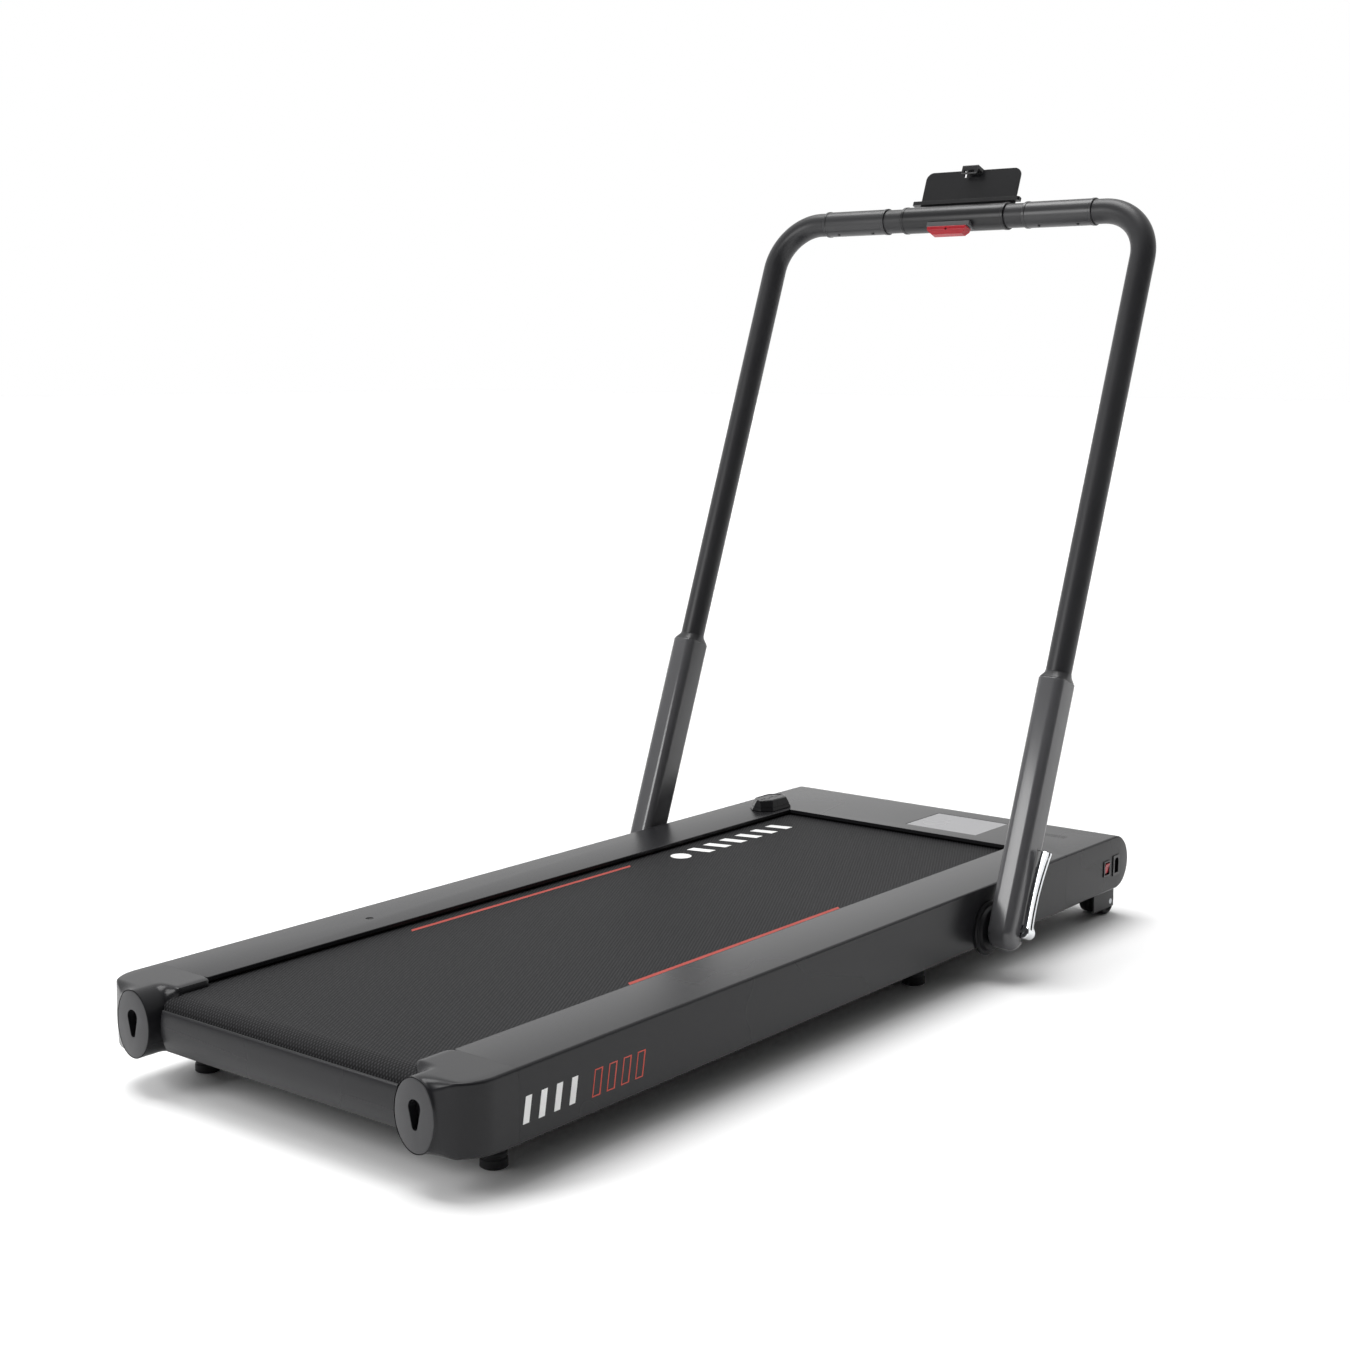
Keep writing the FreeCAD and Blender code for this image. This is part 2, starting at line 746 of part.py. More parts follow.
def make_frame():
    """Welded steel frame under the board."""
    rear_end = rear_roller_y + 19
    front_end = front - S.member_end_gap
    wall = S.member_wall
    for side, word in SIDES:
        body = new_body(f"{word}_frame_member")
        sketch = new_sketch(body, "XZ", -front_end)
        x0, x1 = side * member_inner, side * member_outer
        outline(sketch, [(x0, member_base), (x1, member_base), (x1, member_top), (x0, member_top)])
        a0, a1 = x0 + side * wall, x1 - side * wall
        z0, z1 = member_base + wall, member_top - wall
        outline(sketch, [(a0, z0), (a1, z0), (a1, z1), (a0, z1)])
        pad(body, sketch, front_end - rear_end)
        keep(body, f"{word}_frame_member")
    bars = []
    bar_top = roller_z - belt_wrap - 3.8
    span = (-member_inner, member_inner)
    for number, y in enumerate((rear_end + 30, (rear_end + hood_back) / 2, hood_back - 40)):
        bars.append(box(f"cross_bar_{number}", span, (y, y + 25), (member_base, bar_top)))
    keep(group("cross_members", *bars), "cross_members")


def make_rollers():
    """Rollers, their bearings, fixed axles and the pieces that hold the axles."""
    half = belt_half + 1
    bore_radius = S.roller_radius - S.roller_wall
    shaft_bore = S.axle_radius + S.pin_fit
    for word, y in (("front", front_roller_y), ("rear", rear_roller_y)):
        tube = rod(f"{word}_tube", "X", (-half, y, roller_z), S.roller_radius, half * 2)
        bore = rod(f"{word}_bore", "X", (-half - 1, y, roller_z), bore_radius, half * 2 + 2)
        keep(cut(f"{word}_roller_tube", tube, bore), f"{word}_roller_tube")
        plugs = []
        for side, hand in SIDES:
            start = half - 14 if side > 0 else -half
            plug = rod(f"{word}_{hand}_plug", "X", (start, y, roller_z), bore_radius, 14)
            hole = rod(f"{word}_{hand}_hole", "X", (start - 1, y, roller_z), shaft_bore, 16)
            plugs.append(cut(f"{word}_{hand}_bearing", plug, hole))
        keep(group(f"{word}_roller_bearings", *plugs), f"{word}_roller_bearings")
    y, left = front_roller_y, -half - 17
    disc = rod("pulley_disc", "X", (left, y, roller_z), S.roller_pulley_radius, S.pulley_width)
    hub = rod("pulley_hub", "X", (-half - 4.5, y, roller_z), 14, 4.5)
    hole = rod("pulley_bore", "X", (left - 2, y, roller_z), shaft_bore, 25)
    keep(cut("roller_pulley", fuse("pulley_blank", disc, hub), hole), "roller_pulley")
    axles = []
    reaches = (member_inner - 0.5, member_inner + 5)
    for word, y, reach in zip(("front", "rear"), (front_roller_y, rear_roller_y), reaches):
        axles.append(rod(f"{word}_axle", "X", (-reach, y, roller_z), S.axle_radius, reach * 2))
    keep(group("roller_axles", *axles), "roller_axles")
    blocks, plates, bolts = [], [], []
    for side, word in SIDES:
        x0 = member_inner - 12 if side > 0 else -member_inner - 18
        y0, y1 = rear_roller_y - 29, rear_roller_y + 18
        blank = box(f"{word}_block_blank", (x0, x0 + 30), (y0, y1), (member_base + 12, roller_z + 18))
        track = box(
            f"{word}_block_track",
            (x0 - 1, x0 + 31),
            (rear_roller_y - 13, rear_roller_y + 9),
            (roller_z - S.axle_radius, roller_z + S.axle_radius),
        )
        thread = rod(f"{word}_block_thread", "Y", (side * disc_x, y0 - 1, roller_z), 4, 20)
        blocks.append(cut(f"{word}_axle_block", blank, track, thread))
        x0 = member_inner - 5.5 if side > 0 else -member_inner + 0.5
        blank = box(
            f"{word}_plate_blank",
            (x0, x0 + 5),
            (front_roller_y - 25, front_roller_y + 25),
            (member_base + 6, roller_z + 18),
        )
        bore = rod(f"{word}_plate_bore", "X", (x0 - 1, front_roller_y, roller_z), S.axle_radius, 7)
        plates.append(cut(f"{word}_axle_plate", blank, bore))
        shank = rod(f"{word}_bolt_shank", "Y", (side * disc_x, y0, roller_z), 4, 29 - S.axle_radius)
        head = DOC.addObject("Part::Prism", f"{word}_bolt_head")
        head.Polygon = 6
        head.Circumradius = 7
        head.Height = 5.5
        head.Placement = Placement(Vector(), TURNS["Y"])
        bind(head, Placement__Base__x=side * disc_x, Placement__Base__y=y0 - 5.5)
        bind(head, Placement__Base__z=roller_z)
        bolts.append(fuse(f"{word}_tension_bolt", shank, head))
    keep(group("rear_axle_blocks", *blocks), "rear_axle_blocks")
    keep(group("front_axle_plates", *plates), "front_axle_plates")
    keep(group("tension_bolts", *bolts), "tension_bolts")


def make_motor():
    """Motor can on its cradle and tray, with the rotor and pulley that turn in it."""
    tray_top = S.ground_gap + 5
    rear, ahead = motor_y - 45, motor_y + 35
    tray = box("tray_plate", (-member_inner, member_inner), (rear, ahead), (tray_top - 3, tray_top))
    z, radius = S.motor_height, S.motor_radius
    can_left, can_right = 15 - belt_half, 135 - belt_half
    length, wall = can_right - can_left, 4
    can = rod("can_blank", "X", (can_left, motor_y, z), radius, length)
    room = rod("can_room", "X", (can_left + wall, motor_y, z), radius - wall, length - wall * 2)
    bore = rod("can_bore", "X", (can_left - 1, motor_y, z), 5.1, 8)
    keep(cut("motor_can", can, room, bore), "motor_can")
    block = box(
        "cradle_block",
        (can_left + 15, can_right - 15),
        (motor_y - 22, motor_y + 22),
        (tray_top, z - 12),
    )
    seat = rod("cradle_seat", "X", (can_left, motor_y, z), radius, length)
    keep(fuse("tray_weldment", tray, cut("motor_cradle", block, seat)), "motor_tray")
    left = -belt_half - 18
    shaft = rod("rotor_shaft", "X", (left, motor_y, z), 5, can_right - 14 - left)
    core = rod("rotor_core", "X", (can_left + 12, motor_y, z), radius - 7, length - 28)
    keep(fuse("motor_rotor", shaft, core), "motor_rotor")
    disc = rod("motor_disc", "X", (left, motor_y, z), S.motor_pulley_radius, S.pulley_width)
    hole = rod("motor_disc_bore", "X", (left - 1, motor_y, z), 5, S.pulley_width + 2)
    keep(cut("motor_pulley", disc, hole), "motor_pulley")
    controller = box(
        "controller_box",
        (20, 150),
        (hood_back + 68, hood_back + 152),
        (S.ground_gap + 9, S.ground_gap + 42),
    )
    keep(controller, "controller_box")


def belt_loop(gap):
    """Face inside a line drawn tight round both pulleys at a gap from each."""
    big = Vector(0, float(front_roller_y), float(roller_z))
    small = Vector(0, float(motor_y), float(S.motor_height))
    big_radius = float(S.roller_pulley_radius) + gap
    small_radius = float(S.motor_pulley_radius) + gap
    run = small - big
    heading = math.atan2(run.z, run.y)
    spread = math.acos((big_radius - small_radius) / run.Length)

    def on(centre, radius, angle):
        return centre + Vector(0, radius * math.cos(angle), radius * math.sin(angle))

    up, down = heading + spread, heading - spread
    far = heading + math.pi
    rear_arc = [on(big, big_radius, angle) for angle in (up, far, down)]
    front_arc = [on(small, small_radius, angle) for angle in (down, heading, up)]
    edges = [
        Part.Arc(*rear_arc),
        Part.LineSegment(rear_arc[2], front_arc[0]),
        Part.Arc(*front_arc),
        Part.LineSegment(front_arc[2], rear_arc[0]),
    ]
    return Part.Face(Part.Wire([edge.toShape() for edge in edges]))


def make_drive_belt():
    """Ribbed drive belt from the motor pulley to the pulley on the front roller."""
    item = DOC.addObject("Part::Feature", "drive_belt")
    gap = float(S.running_gap)
    width = Vector(float(S.pulley_width) - 2, 0, 0)
    loop = belt_loop(gap + 1.8).extrude(width).cut(belt_loop(gap).extrude(width))
    item.Shape = loop
    item.Placement = Placement(Vector(-float(belt_half) - 17, 0, 0), Rotation())
    keep(item, "drive_belt")


def make_hinges():
    """Fixed side of the handrail hinge: inner block, outer boss and pin on each side."""
    blocks, bosses, pins = [], [], []
    skin = half_width - S.shell_wall
    thick = S.arm_gap - S.running_gap
    length = arm_inner + pin_reach - member_outer
    y, z, radius = pivot_y, S.pivot_height, S.pin_radius
    for side, word in SIDES:
        x0, x1 = (member_outer, skin) if side > 0 else (-skin, -member_outer)
        blank = box(f"{word}_hinge_blank", (x0, x1), (y - 30, y + 30), (member_base, member_top))
        bore = rod(f"{word}_hinge_bore", "X", (x0 - 1, y, z), radius, x1 - x0 + 2)
        blocks.append(cut(f"{word}_hinge_block", blank, bore))
        x0 = half_width if side > 0 else -half_width - thick
        disc = rod(f"{word}_boss_disc", "X", (x0, y, z), S.boss_radius, thick)
        bore = rod(f"{word}_boss_bore", "X", (x0 - 1, y, z), radius, thick + 2)
        bosses.append(cut(f"{word}_hinge_boss", disc, bore))
        x0 = member_outer if side > 0 else -member_outer - length
        pins.append(rod(f"{word}_hinge_pin", "X", (x0, y, z), radius, length))
    keep(group("hinge_blocks", *blocks), "hinge_blocks")
    keep(group("hinge_bosses", *bosses), "hinge_bosses")
    keep(group("hinge_pins", *pins), "hinge_pins")


def make_running_gear():
    """Rubber feet, wheel forks and axles, and the two transport wheels."""
    feet = []
    middle_y = pivot_y - S.foot_setback
    for side, word in SIDES:
        for place, y in (("middle", middle_y), ("rear", rear_roller_y + S.rear_foot_gap)):
            foot = DOC.addObject("Part::Cone", f"{word}_{place}_foot")
            bind(foot, Radius1=S.foot_radius, Radius2=S.foot_radius - 3, Height=member_base)
            bind(foot, Placement__Base__x=side * (member_inner + 3), Placement__Base__y=y)
            feet.append(foot)
    keep(group("rubber_feet", *feet), "rubber_feet")
    forks, axles = [], []
    half, y, z = S.wheel_width / 2, wheel_y, S.wheel_radius
    under, plate, pin = S.ground_gap, 3, 4
    rear = wheel_y - 52
    for side, word in SIDES:
        x = side * wheel_x
        span = (x - half - 4, x + half + 4)
        bridge = box(f"{word}_fork_bridge", span, (rear, rear + 30), (under - plate, under))
        cheeks = []
        for hand, dx in (("a", -half - 4), ("b", half + 1.5)):
            sides = (x + dx, x + dx + 2.5)
            levels = (S.wheel_radius - 8, under - plate)
            cheek = box(f"{word}_cheek_{hand}", sides, (rear, wheel_y + 9), levels)
            hole = rod(f"{word}_cheek_hole_{hand}", "X", (x + dx - 1, y, z), pin, 5)
            cheeks.append(cut(f"{word}_cheek_cut_{hand}", cheek, hole))
        forks.append(fuse(f"{word}_wheel_fork", bridge, *cheeks))
        axles.append(rod(f"{word}_wheel_axle", "X", (x - half - 4, y, z), pin, S.wheel_width + 8))
        wheel = rod(f"{word}_tyre", "X", (x - half, y, z), S.wheel_radius, S.wheel_width)
        start = (x - half - 1, y, z)
        bore = rod(f"{word}_wheel_bore", "X", start, pin + S.pin_fit, S.wheel_width + 2)
        keep(cut(f"{word}_wheel", wheel, bore), f"{word}_wheel")
    keep(group("wheel_forks", *forks), "wheel_forks")
    keep(group("wheel_axles", *axles), "wheel_axles")


def make_fasteners():
    """Pan screws from below, and the plug in the oiling hole."""
    screws = []
    base, length = S.ground_gap, member_base - S.ground_gap
    for side, word, place, x, y in pan_screw_places():
        head = rod(f"{word}_screw_head_{place}", "Z", (x, y, base - 2), 4.5, 2)
        shank = rod(f"{word}_screw_shank_{place}", "Z", (x, y, base), S.screw_radius, length)
        screws.append(fuse(f"{word}_pan_screw_{place}", head, shank))
    keep(group("pan_screws", *screws), "pan_screws")
    plug = rod("oil_plug", "Z", (oil_x, oil_y, S.deck_top - 4), S.oil_radius, 3.4)
    keep(plug, "oil_plug")


def make_tube():
    """U-shaped handrail tube, drawn upright about the pivot."""
    body = new_body("handrail_tube")
    foot = S.arm_length - S.socket_depth
    shoulder = bar_reach - S.bend_radius
    reach = tube_x - S.bend_radius
    path = new_sketch(body, "XZ", 0)
    outer, inner = tube_x, reach
    points = [
        (-outer, foot),
        (-outer, shoulder),
        (-inner, bar_reach),
        (inner, bar_reach),
        (outer, shoulder),
        (outer, foot),
    ]
    for number in range(5):
        start, end = (Vector(float(a), float(b), 0) for a, b in points[number:number + 2])
        if number in (1, 3):
            centre = arc_centre(start, end, float(S.bend_radius), -1)
            circle = Part.Circle(centre, Vector(0, 0, 1), float(S.bend_radius))
            angles = [math.atan2(p.y - centre.y, p.x - centre.x) for p in (end, start)]
            path.addGeometry(Part.ArcOfCircle(circle, angles[0], angles[1]), False)
        else:
            path.addGeometry(Part.LineSegment(start, end), False)
    finish = [2, 1, 2, 1, 2]
    for number in range(5):
        x, z = points[number + 1]
        for kind, value in (("DistanceX", x), ("DistanceY", z)):
            limit = Sketcher.Constraint(kind, -1, 1, number, finish[number], float(value))
            tie = path.addConstraint(limit)
            path.setExpression(f"Constraints[{tie}]", value.text)
        if number < 4:
            begin = 2 if number + 1 in (1, 3) else 1
            joint = Sketcher.Constraint("Coincident", number, finish[number], number + 1, begin)
            path.addConstraint(joint)
        if number in (1, 3):
            tie = path.addConstraint(Sketcher.Constraint("Radius", number, float(S.bend_radius)))
            path.setExpression(f"Constraints[{tie}]", S.bend_radius.text)
    for kind, value in (("DistanceX", -outer), ("DistanceY", foot)):
        tie = path.addConstraint(Sketcher.Constraint(kind, -1, 1, 0, 1, float(value)))
        path.setExpression(f"Constraints[{tie}]", value.text)
    section = new_sketch(body, "XY", foot)
    ring(section, (-outer, 0), S.tube_radius)
    ring(section, (-outer, 0), S.tube_radius - S.tube_wall)
    pipe = body.newObject("PartDesign::AdditivePipe", "handrail_pipe")
    pipe.Profile = section
    pipe.Spine = (path, [])
    keep(on_handrail(body), "handrail_tube")


def make_arm(side, name):
    """Sleeve that holds one end of the tube, turns on the hinge pin and carries a lever."""
    body = new_body(name)
    half = S.arm_depth / 2
    near_x = arm_inner if side > 0 else -arm_outer
    sketch = new_sketch(body, "YZ", near_x)
    outline(
        sketch,
        [
            (-half, S.arm_length),
            (-half, 0),
            (0, -half, half, 1),
            (half, 0, half, 1),
            (half, S.arm_length),
        ],
    )
    pad(body, sketch, arm_width)
    outer_x = side * arm_outer
    inner_x = side * arm_inner

    def long_edge(b):
        on_face = flat_at(b.XMin, b.XMax, outer_x) or flat_at(b.XMin, b.XMax, inner_x)
        return on_face and b.ZLength > 1

    round_edges(body, S.arm_round, long_edge)
    foot = S.arm_length - S.socket_depth
    socket = new_sketch(body, "XY", foot)
    ring(socket, (side * tube_x, 0), S.tube_radius)
    pocket(body, socket, S.socket_depth + 1)
    bore_start = arm_inner - 1 if side > 0 else -arm_inner - pin_reach - 0.5
    bore = new_sketch(body, "YZ", bore_start)
    ring(bore, (0, 0), S.pin_radius + S.bush_wall)
    pocket(body, bore, pin_reach + 1.5)
    recess_start = arm_outer - 8.3 if side > 0 else -arm_outer - 1
    recess = new_sketch(body, "YZ", recess_start)
    low, high = -10, S.lever_length + 6
    outline(recess, [(3, low), (half + 1, low), (half + 1, high), (3, high)])
    pocket(body, recess, 9.3)
    keep(on_handrail(body), name)


def make_lever(side, name):
    """Chrome release lever on the outside of an arm, bowed outwards to a lipped tip."""
    body = new_body(name)
    width, length = S.lever_width, S.lever_length
    front_v = S.arm_depth / 2 - 0.5
    pin_x = arm_outer + 1.7
    hub = new_sketch(body, "XZ", -front_v)
    ring(hub, (side * pin_x, 4), 9)
    pad(body, hub, width)
    blade = new_sketch(body, "XZ", -front_v)
    outline(
        blade,
        [
            (side * (pin_x + 1), 5),
            (side * (pin_x + 8.5), 5),
            (side * (pin_x + 13), length + 2, 420, -side),
            (side * (pin_x + 12), length + 5),
            (side * (pin_x + 4), length + 5),
            (side * (pin_x - 0.3), 16, 412, side),
        ],
    )
    pad(body, blade, width)
    hole = new_sketch(body, "XZ", -front_v - 1)
    ring(hole, (side * pin_x, 4), 2.5 + S.pin_fit)
    pocket(body, hole, width + 2)
    keep(on_handrail(body), name)


def make_handrail_fittings():
    """Bushes, lever pins, grips, console shells, telephone plate and its ledge."""
    bushes, pins = [], []
    for side, word in SIDES:
        x0 = arm_inner if side > 0 else -arm_inner - pin_reach
        bush = rod(f"{word}_bush_blank", "X", (x0, 0, 0), S.pin_radius + S.bush_wall, pin_reach)
        bore = rod(f"{word}_bush_bore", "X", (x0 - 1, 0, 0), S.pin_radius + S.pin_fit, pin_reach + 2)
        bushes.append(cut(f"{word}_bush", bush, bore))
        pin_start = (side * (arm_outer + 1.7), 3, 4)
        pins.append(rod(f"{word}_lever_pin", "Y", pin_start, 2.5, S.arm_depth / 2 - 3))
        start = grip_start if side > 0 else -grip_start - S.grip_length
        sleeve = rod(f"{word}_grip_blank", "X", (start, 0, bar_reach), grip_radius, S.grip_length)
        bore = rod(f"{word}_grip_bore", "X", (start - 1, 0, bar_reach), S.tube_radius, S.grip_length + 2)
        keep(on_handrail(cut(f"{word}_grip", sleeve, bore)), f"{word}_grip")
    keep(on_handrail(group("hinge_bushes", *bushes)), "hinge_bushes")
    keep(on_handrail(group("lever_pins", *pins)), "lever_pins")
    outer, inner = console_radius, S.tube_radius
    for word, way in (("front", 1), ("rear", -1)):
        body = new_body(f"console_{word}")
        sketch = new_sketch(body, "YZ", -console_half)
        outline(
            sketch,
            [
                (0, bar_reach - outer),
                (way * outer, bar_reach, outer, way),
                (0, bar_reach + outer, outer, way),
                (0, bar_reach + inner),
                (way * inner, bar_reach, inner, -way),
                (0, bar_reach - inner, inner, -way),
            ],
        )
        pad(body, sketch, console_half * 2)
        if way < 0:
            seat = new_sketch(body, "YZ", -S.key_width / 2 - 3)
            low, high = bar_reach - outer - 0.5, bar_reach - outer + 6
            outline(seat, [(-outer - 1, low), (-2, low), (-2, high), (-outer - 1, high)])
            pad(body, seat, S.key_width + 6)
            bore = new_sketch(body, "YZ", -S.key_width / 2 - 4)
            ring(bore, (0, bar_reach), S.tube_radius)
            pocket(body, bore, S.key_width + 8)
        keep(on_handrail(body), f"console_{word}")
    plate_v = console_radius - 1.4
    body = new_body("phone_plate")
    sketch = new_sketch(body, "XZ", -plate_v - S.plate_thickness)
    half, notch, r = plate_half, S.notch_width / 2, S.plate_round
    low, high = bar_reach + 8, bar_reach + 8 + S.plate_height
    outline(
        sketch,
        [
            (-half, low),
            (half, low),
            (half, high - r),
            (half - r, high, r, 1),
            (notch, high),
            (notch, high - S.notch_depth),
            (-notch, high - S.notch_depth),
            (-notch, high),
            (r - half, high),
            (-half, high - r, r, 1),
        ],
    )
    pad(body, sketch, S.plate_thickness)
    keep(on_handrail(body), "phone_plate")
    ledge_low = bar_reach + outer + S.ledge_gap
    ledge = box(
        "ledge_bar",
        (-console_half - 3, console_half + 3),
        (plate_v - 8, plate_v),
        (ledge_low, ledge_low + S.ledge_height),
    )
    keep(on_handrail(group("ledge_row", ledge)), "phone_ledge")
    back_v = plate_v + S.plate_thickness + S.running_gap
    body = new_body("phone_clip")
    sketch = new_sketch(body, "YZ", 2 - S.notch_width / 2)
    outline(
        sketch,
        [
            (back_v, high - 41),
            (back_v + 3.6, high - 41),
            (back_v + 3.6, high + 3),
            (6, high + 3),
            (6, high - 11),
            (9, high - 11),
            (9, high - 2),
            (back_v, high - 2),
        ],
    )
    pad(body, sketch, S.notch_width - 4)
    keep(on_handrail(body), "phone_clip")
    body = new_body("safety_key")
    sketch = new_sketch(body, "YZ", -S.key_width / 2)
    top = bar_reach - outer - 0.5 - S.running_gap
    outline(
        sketch,
        [
            (-outer - 3, top),
            (-outer - 3, top - 6),
            (-outer + 2, top - 11),
            (-7, top - 11),
            (-7, top),
        ],
    )
    pad(body, sketch, S.key_width)
    keep(on_handrail(body), "safety_key")


def make_remote():
    """Remote control that stands on the left rail: eight-sided, with sloping sides."""
    body = new_body("remote_control")
    x, y = -rail_inner - S.remote_inset, front - S.remote_setback
    low = S.deck_top + 0.2
    for inset, level in ((0, low), (S.remote_slope, low + S.remote_height)):
        sketch = new_sketch(body, "XY", level)
        wide, long = S.remote_width / 2 - inset, S.remote_length / 2 - inset
        cut_off = S.remote_corner
        outline(
            sketch,
            [
                (x - wide + cut_off, y - long),
                (x + wide - cut_off, y - long),
                (x + wide, y - long + cut_off),
                (x + wide, y + long - cut_off),
                (x + wide - cut_off, y + long),
                (x - wide + cut_off, y + long),
                (x - wide, y + long - cut_off),
                (x - wide, y - long + cut_off),
            ],
        )
        if inset:
            loft.Sections = [sketch]
        else:
            loft = body.newObject("PartDesign::AdditiveLoft", "remote_loft")
            loft.Profile = sketch
    keep(body, "remote_control")


for hand, label in SIDES:
    make_side_rail(hand, f"{label}_side_rail")
    make_end_cap(hand, f"{label}_end_cap")
    make_arm(hand, f"{label}_arm")
    make_lever(hand, f"{label}_lever")
make_rear_guard()
make_hood()
make_hood_fittings()
make_rocker()
make_belly_pan()
make_belt()
make_deck()
make_frame()
make_rollers()
make_motor()
make_drive_belt()
make_hinges()
make_running_gear()
make_fasteners()
make_tube()
make_handrail_fittings()
make_remote()
DOC.recompute()

faults = [i.Name for i in DOC.Objects if "Invalid" in i.State or "Error" in i.State]
for item in NODES:
    if item.Shape.isNull() or not item.Shape.isValid() or not item.Shape.Solids:
        faults.append(item.Label)
if faults:
    raise RuntimeError(f"not built: {faults}")
os.makedirs("parts", exist_ok=True)
for item in NODES:
    item.Shape.exportStep(f"parts/{item.Label}.step")
print(f"{len(NODES)} sub-parts written")
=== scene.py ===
"""Looks of a folding flat-deck treadmill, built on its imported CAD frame."""

import json
import logging
import math
from collections.abc import Callable, Sequence
from dataclasses import dataclass, field
from enum import Enum
from typing import Any

import bmesh
import bpy
from mathutils import Matrix, Vector


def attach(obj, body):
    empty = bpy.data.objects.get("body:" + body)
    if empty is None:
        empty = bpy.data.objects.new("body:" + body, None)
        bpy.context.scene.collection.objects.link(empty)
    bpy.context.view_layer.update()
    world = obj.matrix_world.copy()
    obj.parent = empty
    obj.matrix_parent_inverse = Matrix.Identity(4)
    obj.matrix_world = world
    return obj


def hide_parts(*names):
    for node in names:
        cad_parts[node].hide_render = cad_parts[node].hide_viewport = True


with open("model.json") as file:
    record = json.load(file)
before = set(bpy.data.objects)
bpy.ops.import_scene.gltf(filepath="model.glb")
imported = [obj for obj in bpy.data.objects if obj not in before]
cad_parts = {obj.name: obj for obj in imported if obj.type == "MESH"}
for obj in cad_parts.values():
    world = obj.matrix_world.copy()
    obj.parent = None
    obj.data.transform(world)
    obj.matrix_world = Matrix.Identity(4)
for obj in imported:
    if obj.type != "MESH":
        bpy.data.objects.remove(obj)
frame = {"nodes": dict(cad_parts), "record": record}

LOG = logging.getLogger("treadmill")
MM = 0.001
Point = tuple[float, float, float]
Flat = tuple[float, float]


# --------------------------------------------------------------------------- node helpers


def linear(code: str) -> tuple[float, float, float, float]:
    """Turn a six-digit sRGB colour code into a linear colour.

    Args:
        code: Six hexadecimal digits.

    Returns:
        Linear red, green, blue and an alpha of one.
    """
    parts = [int(code[place : place + 2], 16) / 255 for place in (0, 2, 4)]
    low = [part / 12.92 if part <= 0.04045 else ((part + 0.055) / 1.055) ** 2.4 for part in parts]
    return low[0], low[1], low[2], 1.0


def add_node(
    tree: bpy.types.NodeTree,
    kind: str,
    inputs: dict[str | int, Any] | None = None,
    **settings: Any,
) -> bpy.types.Node:
    """Add a node, set its properties, then set or link its inputs.

    Args:
        tree: Tree that takes the node.
        kind: Node type name.
        inputs: Input name or index to a value, or to an output socket to link.
        **settings: Node properties.

    Returns:
        The new node.
    """
    node = tree.nodes.new(kind)
    for word, value in settings.items():
        setattr(node, word, value)
    for key, value in (inputs or {}).items():
        if isinstance(value, bpy.types.NodeSocket):
            tree.links.new(value, node.inputs[key])
        else:
            node.inputs[key].default_value = value
    return node


# --------------------------------------------------------------------------- finishes


class Metal(Enum):
    """Whether a finish is a bare metal or not."""

    NO = 0.0
    YES = 1.0


